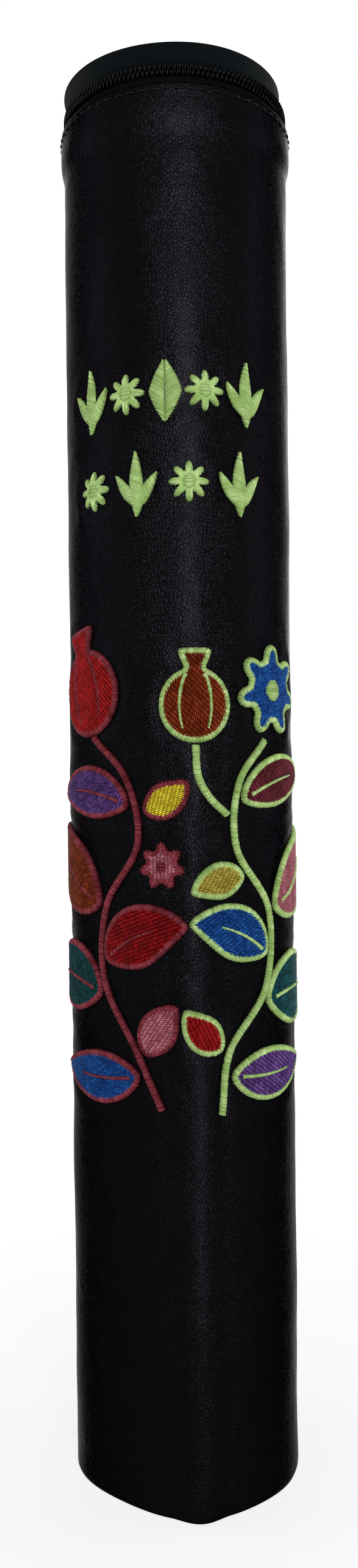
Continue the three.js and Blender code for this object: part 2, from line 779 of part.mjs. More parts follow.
function leaf({ stem, atShare, side, lengthShare, widthShare, turn, bendShare }) {
  const spine = stems[stem];
  const foot = spine(atShare);
  const ahead = spine(atShare + aheadShare);
  const heading = Math.atan2(ahead[1] - foot[1], ahead[0] - foot[0]);
  const direction = heading + side * turn * degree;
  const length = lengthShare * pictureHeight;
  const halfWidth = widthShare * pictureHeight / 2;
  const away = stemWidth / 2 + clearance;
  const start = [
    foot[0] - side * away * Math.sin(heading) + leafGap * Math.cos(direction),
    foot[1] + side * away * Math.cos(heading) + leafGap * Math.sin(direction),
  ];
  const axis = (t) => {
    const forward = length * t;
    const aside = bendShare * length * 4 * t * (1 - t);
    return [
      start[0] + forward * Math.cos(direction) - aside * Math.sin(direction),
      start[1] + forward * Math.sin(direction) + aside * Math.cos(direction),
    ];
  };
  const tip = clearance;
  const swell = (t) => Math.sin(Math.PI * t ** leafTipPower) ** leafSidePower;
  return patch(axis, (t) => tip + (halfWidth - tip) * swell(t), leafSteps, leafStepsAcross);
}

for (const entry of leaves) add(entry.name, leaf(entry), thread(entry.colour));

// Pomegranates: a round fruit that ends in a flared crown
const fruits = [
  { name: 'fruit_red', foot: stems.left(1), turn: 12, lengthShare: 0.24, widthShare: 0.19,
    colour: 'red' },
  { name: 'fruit_orange', foot: stems.middle(1), turn: 0, lengthShare: 0.2, widthShare: 0.155,
    colour: 'orange' },
];

function fruit({ foot, turn, lengthShare, widthShare }) {
  const length = lengthShare * pictureHeight;
  const halfWidth = widthShare * pictureHeight / 2;
  const [across, up] = [-Math.sin(turn * degree), Math.cos(turn * degree)];
  const axis = (t) => [
    foot[0] + (fruitGap + t * length) * across, foot[1] + (fruitGap + t * length) * up,
  ];
  const [footShare, neckShare, crownShare, bodyShare] = [0.08, 0.3, 0.52, 0.8];
  const breadth = (t) => {
    if (t <= bodyShare) {
      const round = Math.sqrt(Math.max(0, 1 - (2 * t / bodyShare - 1) ** 2));
      return Math.max(t > bodyShare / 2 ? neckShare : footShare, round) * halfWidth;
    }
    const flare = (t - bodyShare) / (1 - bodyShare);
    return THREE.MathUtils.lerp(neckShare, crownShare, flare) * halfWidth;
  };
  return patch(axis, breadth, fruitSteps, fruitStepsAcross);
}

for (const entry of fruits) add(entry.name, fruit(entry), thread(entry.colour));

// The edge of a blossom as a share of its radius: even petals round a smaller core
function evenPetals(count, petalAngle, coreShare) {
  const between = 360 / count;
  return (angle) => {
    const turn = angle / degree;
    const apart = Math.abs(turn - between * Math.round(turn / between)) / petalAngle;
    return Math.max(coreShare, apart < 1 ? Math.cos(apart * Math.PI / 2) ** petalPower : 0);
  };
}

const blossoms = [
  { name: 'blossom_blue', radiusShare: 0.1, colour: 'blue', rings: 3,
    placeShares: [0.225, 0.885] },
  { name: 'blossom_pink', radiusShare: 0.052, colour: 'pink', rings: 2,
    placeShares: [-0.045, 0.512] },
];

for (const { name, radiusShare, colour, rings, placeShares } of blossoms) {
  const radius = radiusShare * pictureHeight;
  const centre = [placeShares[0] * pictureHeight, pictureBase + placeShares[1] * pictureHeight];
  const edge = evenPetals(blossomPetals, blossomPetalAngle, blossomCoreShare);
  add(name, rosette(centre, radius, radius, edge, blossomSpokes, rings), thread(colour));
}

// Two rows of small ornaments: flowers, lozenges and sprigs of three leaves
function lozengeEdge(angle) {
  const sum = Math.abs(Math.sin(angle)) ** lozengePower + Math.abs(Math.cos(angle)) ** lozengePower;
  return sum ** (-1 / lozengePower);
}

function flower(centre) {
  const radius = flowerWidth / 2;
  const edge = evenPetals(flowerPetals, flowerPetalAngle, flowerCoreShare);
  return rosette(centre, radius, radius, edge, flowerSpokes, 1);
}

function lozenge(centre) {
  return rosette(centre, lozengeWidth / 2, ornamentHeight / 2, lozengeEdge, lozengeSpokes, 1);
}

// Each leaf of a sprig: its turn from upright, its foot and length as shares of the height
const sprigLeafShares = [
  { turn: 0, footShare: -0.5, lengthShare: 1, widthShare: 0.25 },
  { turn: 34, footShare: -0.36, lengthShare: 0.62, widthShare: 0.2 },
  { turn: -34, footShare: -0.36, lengthShare: 0.62, widthShare: 0.2 },
];

function sprig(centre) {
  const parts = sprigLeafShares.map(({ turn, footShare, lengthShare, widthShare }) => {
    const length = lengthShare * ornamentHeight;
    const axis = (t) => [
      centre[0] + length * t * Math.sin(turn * degree),
      centre[1] + footShare * ornamentHeight + length * t * Math.cos(turn * degree),
    ];
    const halfWidth = widthShare * ornamentHeight / 2;
    const swell = (t) => Math.sin(Math.PI * t ** leafTipPower);
    const breadth = (t) => clearance + (halfWidth - clearance) * swell(t);
    return toManifold(patch(axis, breadth, sprigSteps, sprigStepsAcross));
  });
  return fromManifold(parts.reduce((whole, part) => whole.add(part)));
}

const ornamentKinds = { flower, lozenge, sprig };
const ornamentRows = [
  { row: 'upper', middle: upperRowMiddle,
    places: [['sprig', -48], ['flower', -26], ['lozenge', -6], ['flower', 13], ['sprig', 35]] },
  { row: 'lower', middle: lowerRowMiddle,
    places: [['flower', -47], ['sprig', -21], ['flower', 5], ['sprig', 31]] },
];

for (const { row, middle, places } of ornamentRows) {
  places.forEach(([kind, azimuth], index) => {
    const centre = [azimuth * degree * caseRadius, middle];
    add(`ornament_${row}_${index + 1}`, ornamentKinds[kind](centre), thread('lime'));
  });
}

export default group;
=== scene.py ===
"""A zipped leather case for a rolled scroll, dressed round its packed solids.

The case stands on its base with the embroidered front towards -Y. Points are worked out in
millimetres and become metres when a mesh is made. An azimuth is an angle in degrees about Z,
0 at the front and positive towards +X. An offset is counted outwards from the leather's surface.
"""
import math

import bpy
import numpy as np
from bpy.props import FloatProperty, FloatVectorProperty, IntProperty, PointerProperty
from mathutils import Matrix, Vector, kdtree, noise


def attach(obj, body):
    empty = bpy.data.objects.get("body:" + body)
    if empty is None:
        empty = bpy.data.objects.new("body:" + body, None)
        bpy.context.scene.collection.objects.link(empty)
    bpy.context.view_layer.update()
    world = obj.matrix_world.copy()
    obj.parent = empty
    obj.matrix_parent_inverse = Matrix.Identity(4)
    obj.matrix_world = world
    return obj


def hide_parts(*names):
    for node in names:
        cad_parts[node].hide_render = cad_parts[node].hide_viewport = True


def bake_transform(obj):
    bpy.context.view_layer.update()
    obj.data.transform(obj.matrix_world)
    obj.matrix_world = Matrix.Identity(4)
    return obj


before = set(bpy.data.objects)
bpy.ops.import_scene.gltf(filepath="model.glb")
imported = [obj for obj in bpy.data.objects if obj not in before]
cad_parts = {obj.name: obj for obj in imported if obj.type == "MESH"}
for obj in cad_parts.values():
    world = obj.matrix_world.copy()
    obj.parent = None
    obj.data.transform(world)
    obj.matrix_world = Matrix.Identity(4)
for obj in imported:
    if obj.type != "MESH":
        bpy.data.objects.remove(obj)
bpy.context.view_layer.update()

bl_info = {
    "name": "Scroll case",
    "version": (1, 0, 0),
    "blender": (4, 5, 0),
    "location": "View3D > Sidebar > Scroll case",
    "description": "Leather, zip, lining and embroidery of a tube case for a scroll",
    "category": "Object",
}

MM = 0.001

# The tube, in millimetres
CASE_RADIUS = 30
HEM_TOP = 359.3
HEM_SEAM = 357.3
HEM_BOTTOM = 349.7
HEM_THICKNESS = 0.9
LEATHER_WALL = 1.2
CLEARANCE = 0.3
EDGE_ROUND = 2.2
TURN_IN = 7.5
STRIP_HALF = 6
STRIP_SEAM = 4.7
STRIP_TOP = 349.4
BACK_SLIT = 0.4
LINING_OUTSIDE = (-3.3, -2.6)
LINING_INSIDE = (-3.9, -3.2)
LINING_STEP = (344.5, 346.5)
LINING_FLOOR = 3.8
LINING_TOP = 357.3

# Each ridge or hollow of the front: height, azimuth, and how far it reaches to either side
RIDGES = ((1.6, 6, 16), (-2.8, -38, 50), (-0.6, 38, 30))

# The zip and the lid, in millimetres
CHAIN_MIDDLE = 362.9
COIL_OFFSET = -0.5
COIL_SHIFT = 0.68
LOOP_HALF_HEIGHT = 0.86
LOOP_HALF_DEPTH = 0.43
COIL_SEAM = 1.85
COIL_STITCH = 0.95
COIL_STITCH_PITCH = 1.27
RIM_TOP = 369.0
RIM_ROLL = 1.5
RIM_FLARE = 1.7
TAPE_BOTTOM = 344.8
TAPE_OUTSIDE = -1.5
TAPE_INSIDE = -2.3
TAPE_WALL = 0.8
UPPER_TAPE_LOW = 363.9
LOWER_TAPE_HIGH = 361.9
CHAIN_END = 143.07
GUSSET_START = 163.5
TAPE_GAP = 0.7
BACK_RISE = 2.3
BACK_DROP = 3.2
TAIL_BANDS = ((359.0, 362.1, 0.8), (363.7, 365.9, 0.12))
TACK_HEIGHTS = (359.2, 365.4)
LID_LAP = 6
LID_INSET = 3.3
LID_UNDERSIDE = 369.3
LID_SEAM_RADIUS = 25.1
LID_SEAM_HEIGHT = 370.28

# Sewing: the azimuth where the hem's seam ends, the heights of the back seam's ends, and how
# high the thread lies on the leather
HEM_SEAM_END = 178
BACK_SEAM = (5, 346)
STITCH_LIFT = 0.02

# Woven cloth from thread to thread, and the metal's rounded edges, in metres
WEAVE_PITCH = 0.00042
METAL_ROUND = 0.00022
METAL_MERGE = 0.000002

# The embroidered picture, in millimetres
PICTURE_BASE = 103
PICTURE_HEIGHT = 119
STEM_WIDTH = 1.9
LEAF_GAP = 0.8
FRUIT_GAP = 0.6


def colour_setting(name, default):
    return FloatVectorProperty(
        name=name, description=f"Colour of the {name.lower()}", subtype="COLOR",
        default=default, min=0, max=1,
    )


def length_setting(name, description, default):
    return FloatProperty(
        name=name, description=description, subtype="DISTANCE", unit="LENGTH",
        default=default, min=0,
    )


def power_setting(name, description, default):
    return FloatProperty(name=name, description=description, subtype="POWER", default=default)


class ScrollCaseLeather(bpy.types.PropertyGroup):
    """Sizes and colours of the leather, the lining and the boards"""

    leather: colour_setting("Leather", (0.0047, 0.0046, 0.0057))
    lining: colour_setting("Lining", (0.012, 0.013, 0.018))
    board: colour_setting("Board", (0.022, 0.021, 0.02))
    grain: length_setting("Grain", "Size of one pebble of the leather's grain", 0.0008)
    stitch: length_setting("Stitch", "Length of one sewn stitch", 0.0023)
    stitch_pitch: length_setting("Stitch pitch", "From one sewn stitch to the next", 0.003)


class ScrollCaseZip(bpy.types.PropertyGroup):
    """Sizes and colours of the zip"""

    tape: colour_setting("Tape", (0.0016, 0.0032, 0.0042))
    nylon: colour_setting("Nylon coil", (0.0075, 0.0078, 0.0085))
    metal: colour_setting("Slider metal", (0.032, 0.034, 0.038))
    tooth_pitch: length_setting("Tooth pitch", "From one loop of the coil to the next", 0.00127)
    wire: length_setting("Wire", "Thickness of the nylon wire of the coil", 0.00052)


class ScrollCaseThread(bpy.types.PropertyGroup):
    """Sizes and colours of the embroidery thread"""

    lime: colour_setting("Lime thread", (0.50, 0.66, 0.29))
    mauve: colour_setting("Mauve thread", (0.27, 0.045, 0.062))
    teal: colour_setting("Teal thread", (0.006, 0.105, 0.118))
    deep_teal: colour_setting("Deep teal thread", (0.0045, 0.057, 0.062))
    red: colour_setting("Red thread", (0.38, 0.010, 0.012))
    deep_red: colour_setting("Deep red thread", (0.28, 0.005, 0.008))
    orange: colour_setting("Orange thread", (0.26, 0.042, 0.009))
    yellow: colour_setting("Yellow thread", (0.70, 0.60, 0.050))
    olive: colour_setting("Olive thread", (0.50, 0.43, 0.085))
    blue: colour_setting("Blue thread", (0.015, 0.11, 0.37))
    purple: colour_setting("Purple thread", (0.15, 0.07, 0.26))
    pink: colour_setting("Pink thread", (0.50, 0.19, 0.24))
    wine: colour_setting("Wine thread", (0.15, 0.020, 0.032))
    satin_pitch: length_setting("Satin pitch", "Between the strands of a satin edge", 0.00033)
    fill_pitch: length_setting("Fill pitch", "Between the rows of a filled patch", 0.00047)
    fill_stitch: length_setting("Fill stitch", "Length of a stitch in a filled patch", 0.00118)
    edge_width: length_setting("Edge width", "Width of a satin edge", 0.0019)
    seed: IntProperty(name="Seed", description="Seed of the small unevenness", default=7)


class ScrollCaseStage(bpy.types.PropertyGroup):
    """The camera and the lights"""

    distance: length_setting("Distance", "From the camera to the case's axis", 0.337)
    height: length_setting("Height", "Height of the camera above the floor", 0.1845)
    lens: FloatProperty(name="Lens", description="Focal length in millimetres", default=28.31)
    roll: FloatProperty(
        name="Roll", description="Turn of the camera about its view", subtype="ANGLE",
        default=math.radians(0.58),
    )
    ambient: FloatProperty(name="Ambient", description="Even light from all sides", default=0.24)
    key: power_setting("Key", "Power of the soft light by the camera", 3.2)
    shine: power_setting("Shine", "Power of the tall card that is seen in glossy surfaces", 1.35)
    low_shine: power_setting("Low shine", "Power of the card that is seen in the tube's foot", 0.13)
    side: power_setting("Sides", "Power of the soft lights at the sides and the back", 2.2)


SETTINGS = {
    "scroll_leather": ScrollCaseLeather,
    "scroll_zip": ScrollCaseZip,
    "scroll_thread": ScrollCaseThread,
    "scroll_stage": ScrollCaseStage,
}


def setting(group):
    return getattr(bpy.context.scene, group)


# Shape of the tube

def fold(azimuth, z):
    """How far the front's ridge and hollows move the wall outwards"""
    wrapped = (np.asarray(azimuth) + 180) % 360 - 180
    moved = 0
    for height, middle, reach in RIDGES:
        away = np.minimum(np.abs(wrapped - middle) / reach, 1)
        moved = moved + height * np.cos(away * math.pi / 2) ** 2
    return moved * (1 - np.clip(np.asarray(z) / HEM_TOP, 0, 1))


def degrees_of(length):
    """The angle that a length takes up along the tube's wall"""
    return np.degrees(length / CASE_RADIUS)


def round_axis(azimuth, radius, z):
    """Places at some angles round the tube's axis and distances from it"""
    azimuth, radius, z = np.broadcast_arrays(azimuth, radius, z)
    turn = np.radians(azimuth)
    return np.stack((radius * np.sin(turn), -radius * np.cos(turn), z), -1)


def on_tube(azimuth, offset, z):
    return round_axis(azimuth, CASE_RADIUS + offset + fold(azimuth, z), z)


def outward(points):
    """Unit vectors away from the axis at some points"""
    flat = np.array(points, float)
    flat[..., 2] = 0
    return flat / np.linalg.norm(flat, axis=-1, keepdims=True)


def on_cloth(places, height):
    """Places on the front as [arc to the right, height above the base], raised by a height"""
    places = np.asarray(places, float)
    return on_tube(degrees_of(places[..., 0]), height, places[..., 1])


def rounded(corners, rounds, longest=4.0, steps=4):
    """A closed outline with each corner rounded by its reach, cut into short edges. longest is
    one length, or one for the edge that leaves each corner"""
    corners = np.array(corners, float)
    longest = np.broadcast_to(longest, len(corners))
    outline = []
    for index, corner in enumerate(corners):
        before = corners[index - 1] - corner
        after = corners[(index + 1) % len(corners)] - corner
        lengths = np.linalg.norm(before), np.linalg.norm(after)
        reach = min(rounds[index], lengths[0] * 0.49, lengths[1] * 0.49)
        start, end = corner + before / lengths[0] * reach, corner + after / lengths[1] * reach
        for t in np.linspace(0, 1, steps + 1):
            point = (1 - t) ** 2 * start + 2 * t * (1 - t) * corner + t * t * end
            outline.append((point, longest[index]))
    fine = []
    for (point, limit), (beyond, _) in zip(outline, outline[1:] + outline[:1]):
        count = max(1, math.ceil(np.linalg.norm(beyond - point) / limit - 1e-9))
        fine += [point + (beyond - point) * part / count for part in range(count)]
    return np.array(fine)


# Meshes

def grid_faces(rows, columns, wrap_rows, wrap_columns):
    row = np.arange(rows if wrap_rows else rows - 1)[:, None]
    column = np.arange(columns if wrap_columns else columns - 1)[None, :]
    next_row, next_column = (row + 1) % rows, (column + 1) % columns
    corners = np.broadcast_arrays(
        row * columns + column, next_row * columns + column,
        next_row * columns + next_column, row * columns + next_column,
    )
    return np.stack(corners, -1).reshape(-1, 4).tolist()


def facing_out(points, faces):
    """The faces of a closed body, turned so that they point out"""
    volume = 0
    for face in faces:
        a = points[face[0]]
        for second, third in zip(face[1:-1], face[2:]):
            volume += np.dot(a, np.cross(points[second], points[third]))
    return faces if volume > 0 else [face[::-1] for face in faces]


def tube_body(points, closed):
    """A closed body from rings of points [station, corner, 3]: a loop, or a bar with two ends"""
    stations, corners = points.shape[:2]
    faces = grid_faces(stations, corners, closed, True)
    if not closed:
        faces += [list(range(corners)), [stations * corners - 1 - i for i in range(corners)]]
    flat = points.reshape(-1, 3)
    return flat, facing_out(flat, faces)


def capped(rings, first_pole, last_pole):
    """A closed body from points [spot, ring, 3], with a fan at each end round a pole"""
    spots, columns = rings.shape[:2]
    faces = grid_faces(spots, columns, True, False)
    low, high = spots * columns, spots * columns + 1
    for spot in range(spots):
        here, beyond = spot * columns, (spot + 1) % spots * columns
        faces += [[low, beyond, here], [high, here + columns - 1, beyond + columns - 1]]
    flat = np.concatenate((rings.reshape(-1, 3), [first_pole, last_pole]))
    return flat, facing_out(flat, faces)


def new_object(name, data):
    thing = bpy.data.objects.new(name, data)
    bpy.context.scene.collection.objects.link(thing)
    return thing


def shade_smooth(mesh):
    mesh.polygons.foreach_set("use_smooth", [True] * len(mesh.polygons))


def make_object(name, points, faces):
    mesh = bpy.data.meshes.new(name)
    mesh.from_pydata((np.asarray(points) * MM).tolist(), [], faces)
    shade_smooth(mesh)
    return new_object(name, mesh)


def add_vectors(thing, **layers):
    for name, vectors in layers.items():
        layer = thing.data.attributes.new(name, "FLOAT_VECTOR", "POINT")
        layer.data.foreach_set("vector", np.asarray(vectors, np.float32).ravel())


def unroll(thing):
    """A flat map in metres round a piece: along the tube's arc, and upwards or inwards"""
    mesh = thing.data
    points = np.zeros(len(mesh.vertices) * 3)
    mesh.vertices.foreach_get("co", points)
    x, y, z = points.reshape(-1, 3).T
    vertex, first = np.zeros(len(mesh.loops), int), np.zeros(len(mesh.polygons), int)
    corners = np.zeros(len(mesh.polygons), int)
    mesh.loops.foreach_get("vertex_index", vertex)
    mesh.polygons.foreach_get("loop_start", first)
    mesh.polygons.foreach_get("loop_total", corners)
    azimuth = np.arctan2(x, -y)[vertex]
    start = np.repeat(azimuth[first], corners)
    azimuth = start + (azimuth - start + math.pi) % (2 * math.pi) - math.pi
    flat = np.stack((azimuth * CASE_RADIUS * MM, (z - np.hypot(x, y))[vertex]), 1)
    mesh.uv_layers.new(name="Cloth").data.foreach_set("uv", flat.ravel())


def wall(name, azimuths, outline, closed, relief=None):
    """A wall bent round the tube from one closed section of [offset, z], or one per azimuth"""
    outline = np.asarray(outline, float)
    if outline.ndim == 2:
        outline = np.broadcast_to(outline, (len(azimuths), *outline.shape))
    columns = outline.shape[1]
    spread = np.repeat(np.asarray(azimuths, float)[:, None], columns, 1)
    points = on_tube(spread, outline[..., 0], outline[..., 1])
    if relief is not None:
        points = points + outward(points) * relief(points, outline[..., 0])[..., None]
    thing = make_object(name, *tube_body(points, closed))
    unroll(thing)
    return thing


def disc(name, edge_offset, profile):
    """A round sheet filling the tube: profile lists [share of the radius, z] from the middle of
    its underside round its edge to the middle of its top"""
    spots = 144
    azimuths = np.arange(spots) * 360 / spots
    profile = np.asarray(profile, float)
    inner = profile[1:-1]
    edge = on_tube(azimuths[:, None], edge_offset, inner[None, :, 1])
    points = edge.copy()
    points[..., :2] *= inner[None, :, 0, None]
    return make_object(name, *capped(points, (0, 0, profile[0, 1]), (0, 0, profile[-1, 1])))


# Materials

class Nodes:
    """Adds nodes to a tree, with what goes into each given by its input's name or number"""

    def __init__(self, tree):
        self.tree = tree

    def node(self, kind, inputs=(), **values):
        made = self.tree.nodes.new(kind)
        for key, value in values.items():
            setattr(made, key, value)
        for name, value in dict(inputs).items():
            self.feed(made.inputs[name], value)
        return made

    def feed(self, socket, value):
        if isinstance(value, bpy.types.Node):
            value = value.outputs[0]
        if isinstance(value, bpy.types.NodeSocket):
            self.tree.links.new(value, socket)
        else:
            socket.default_value = value

    def math(self, operation, *values):
        return self.node("ShaderNodeMath", enumerate(values), operation=operation).outputs[0]

    def seen(self):
        """1 on the rays that show a surface as it is, and 0 on those that it lights"""
        rays = self.node("ShaderNodeLightPath").outputs
        direct = self.math("MAXIMUM", rays["Is Camera Ray"], rays["Is Glossy Ray"])
        return self.math("MAXIMUM", direct, rays["Is Transmission Ray"])

    def show(self, output, factor, first, second):
        """Shows a mix of two shaders"""
        mix = self.node("ShaderNodeMixShader", {0: factor, 1: first, 2: second})
        self.feed(self.tree.nodes[output].inputs["Surface"], mix)


class Look(Nodes):
    """Builds a node material round one Principled shader"""

    def __init__(self, name, colour, roughness, **values):
        self.material = bpy.data.materials.new(name)
        self.material.use_nodes = True
        super().__init__(self.material.node_tree)
        self.shader = self.tree.nodes["Principled BSDF"]
        self.colour = (*colour, 1)
        self.material.diffuse_color = self.colour
        for key, value in {"Base Color": self.colour, "Roughness": roughness, **values}.items():
            self.feed(self.shader.inputs[key.replace("_", " ")], value)
        self.last_bump = None

    def place(self, stretch=(1, 1, 1), flat=None):
        """Object coordinates, or the piece's own flat map, stretched"""
        if flat:
            source = self.node("ShaderNodeUVMap", uv_map=flat).outputs["UV"]
        else:
            source = self.node("ShaderNodeTexCoord").outputs["Object"]
        return self.node("ShaderNodeMapping", {"Vector": source, "Scale": stretch}).outputs[0]

    def along(self, place, axis):
        return self.node("ShaderNodeSeparateXYZ", {0: place}).outputs[axis]

    def noise(self, place, size, detail=3.0, roughness=0.55):
        return self.node("ShaderNodeTexNoise", {
            "Vector": place, "Scale": 1 / size, "Detail": detail, "Roughness": roughness,
        }).outputs["Fac"]

    def cells(self, place, size):
        """Distance from the creases between many uneven cells, in sizes of a cell"""
        return self.node(
            "ShaderNodeTexVoronoi", {"Vector": place, "Scale": 1 / size}, feature="DISTANCE_TO_EDGE"
        ).outputs["Distance"]

    def weave(self, place, pitch):
        """Threads that pass over and under each other, from 0 between them to 1 on them"""
        waves = [
            self.math("SINE", self.math("MULTIPLY", self.along(place, axis), math.pi / pitch))
            for axis in (0, 1)
        ]
        return self.ranged(self.math("MULTIPLY", *waves), -1, 1, 0, 1)

    def ranged(self, value, low, high, into_low, into_high, ramp="LINEAR"):
        return self.node("ShaderNodeMapRange", {
            "Value": value, "From Min": low, "From Max": high, "To Min": into_low,
            "To Max": into_high,
        }, clamp=True, interpolation_type=ramp).outputs["Result"]

    def bump(self, height, depth, strength=1.0):
        inputs = {"Strength": strength, "Distance": depth, "Height": height}
        if self.last_bump:
            inputs["Normal"] = self.last_bump
        self.last_bump = self.node("ShaderNodeBump", inputs)
        self.feed(self.shader.inputs["Normal"], self.last_bump)

    def tint(self, factor, colour=None):
        """Mixes the plain colour with another one, or with a darker tone of itself"""
        other = colour or tuple(channel * 0.45 for channel in self.colour[:3])
        made = self.node("ShaderNodeMix", {"Factor": factor}, data_type="RGBA")
        first, second = [socket for socket in made.inputs if socket.type == "RGBA"]
        first.default_value, second.default_value = (*other, 1), self.colour
        output = next(socket for socket in made.outputs if socket.type == "RGBA")
        self.feed(self.shader.inputs["Base Color"], output)

    def roughen(self, value):
        self.feed(self.shader.inputs["Roughness"], value)


def dress(thing, look):
    thing.data.materials.clear()
    thing.data.materials.append(look.material)


def settle(thing, body, node, look=None):
    """Dresses a piece, and says which body it rides, which node it replaces and its slot"""
    if look:
        dress(thing, look)
    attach(thing, body)
    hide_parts(node)


def leather_look(name):
    """Soft pebbled leather with fine pores and slow waves, smoother where it is worn near
    the hem, with painted shade in the creases between the pebbles. It is so black that its
    waxed surface alone is seen, so the colour is the tone of that reflection"""
    settings = setting("scroll_leather")
    look = Look(name, settings.leather, 0.35, Metallic=1.0, Specular_Tint=(0.46, 0.45, 0.45, 1))
    place = look.place(stretch=(1, 1, 0.85))
    grain = look.cells(place, settings.grain)
    pebbles = look.ranged(grain, 0.0, 0.28, 0, 1, "SMOOTHSTEP")
    pores = look.noise(place, settings.grain * 0.3, 2)
    slow = look.noise(place, 0.006, 2)
    patches = look.noise(place, 0.021, 3)
    worn = look.ranged(look.along(place, 2), 0.22, 0.28, 1, 0.85)
    uneven = look.math("MULTIPLY", worn, look.ranged(patches, 0.35, 0.65, 0.5, 1))
    depth = look.math("MULTIPLY", pebbles, uneven)
    look.bump(slow, 0.0006, 0.5)
    look.bump(depth, 0.0001, 0.75)
    look.bump(pores, 0.00004, 0.4)
    look.roughen(look.ranged(patches, 0.3, 0.7, 0.25, 0.36))
    # Painted shade: the colour darkens in the creases between the pebbles, a little less near the
    # hem
    creases = look.math("MULTIPLY", worn, look.ranged(grain, 0.0, 0.22, 0.87, 0))
    look.tint(look.math("SUBTRACT", 1.1, creases))
    return look


def cloth_look(name, colour, flat=None):
    look = Look(name, colour, 0.75, Specular_IOR_Level=0.025, Sheen_Weight=0.03)
    place = look.place(flat=flat)
    threads = look.weave(place, WEAVE_PITCH)
    fluff = look.noise(place, 0.0004, 3)
    look.bump(threads, 0.00006, 0.6)
    look.bump(fluff, 0.00006, 0.5)
    # Painted shade: the cloth darkens between the threads of the weave, and the fluff varies its
    # tone at random
    over = look.ranged(threads, 0, 1, 0.3, 1)
    look.tint(look.math("MULTIPLY", over, look.ranged(fluff, 0.3, 0.7, 0.7, 1)))
    return look


def thread_look(name, colour, end_shade):
    """Twisted shiny thread: plies wind round each strand, which has painted shade towards its ends
    """
    look = Look(name, colour, 0.4, Specular_IOR_Level=0.07, Metallic=0.08)
    run, around, shade = [
        look.node("ShaderNodeAttribute", attribute_name=attribute).outputs["Fac"]
        for attribute in ("run", "around", "shade")
    ]
    wound = look.math("ADD", look.math("MULTIPLY", run, 9.0), look.math("MULTIPLY", around, 12.566))
    plies = look.math("ABSOLUTE", look.math("SINE", wound))
    look.bump(plies, 0.00005, 0.6)
    place = look.place()
    look.bump(look.noise(place, 0.00012, 2), 0.00002, 0.5)
    # Painted shade: each strand darkens towards its ends, where it dips into the cloth
    off_middle = look.math("ABSOLUTE", look.math("SUBTRACT", run, 0.5))
    ends = look.ranged(off_middle, 0.2, 0.5, 1, end_shade)
    slow = look.ranged(look.noise(place, 0.0035, 2), 0.35, 0.6, 0.5, 1)
    # A darker, richer tone of the thread, for the painted shade at the strands' ends and for their
    # random tone
    deep = tuple(0.8 * channel ** 2.1 for channel in colour)
    look.tint(look.math("MULTIPLY", look.math("MULTIPLY", shade, ends), slow), deep)
    return look


def ground_look(name, colour):
    """The dark gaps between strands: the same thread, deep in its own shadow"""
    deep = tuple(channel * 0.34 for channel in colour)
    look = Look(name, deep, 0.8, Specular_IOR_Level=0.03)
    look.tint(look.noise(look.place(), 0.0003, 2))
    look.bump(look.noise(look.place(), 0.0002, 2), 0.00005)
    return look


def metal_look(colour):
    look = Look("slider_metal", colour, 0.32, Metallic=0.85)
    place = look.place()
    worn = look.noise(place, 0.0016, 4)
    look.roughen(look.ranged(worn, 0.3, 0.7, 0.24, 0.42))
    look.bump(look.noise(place, 0.0005, 3), 0.00002, 0.6)
    look.tint(look.ranged(worn, 0.35, 0.7, 0.4, 1))
    return look


def board_look(colour):
    look = Look("stiff_board", colour, 0.85, Specular_IOR_Level=0.2)
    fibres = look.noise(look.place(stretch=(1, 1, 3)), 0.0012, 5, 0.7)
    look.tint(look.ranged(fibres, 0.3, 0.7, 0.3, 1))
    look.bump(fibres, 0.0001, 0.6)
    return look


def nylon_look(colour):
    look = Look("nylon_coil", colour, 0.3, Metallic=1.0, Specular_Tint=(0.3, 0.3, 0.3, 1))
    place = look.place()
    look.roughen(look.ranged(look.noise(place, 0.0006, 2), 0.3, 0.7, 0.26, 0.42))
    look.tint(look.ranged(look.noise(place, 0.002, 3), 0.3, 0.7, 0.5, 1))
    look.bump(look.noise(place, 0.0003, 2), 0.00002, 0.5)
    return look


# Geometry Nodes

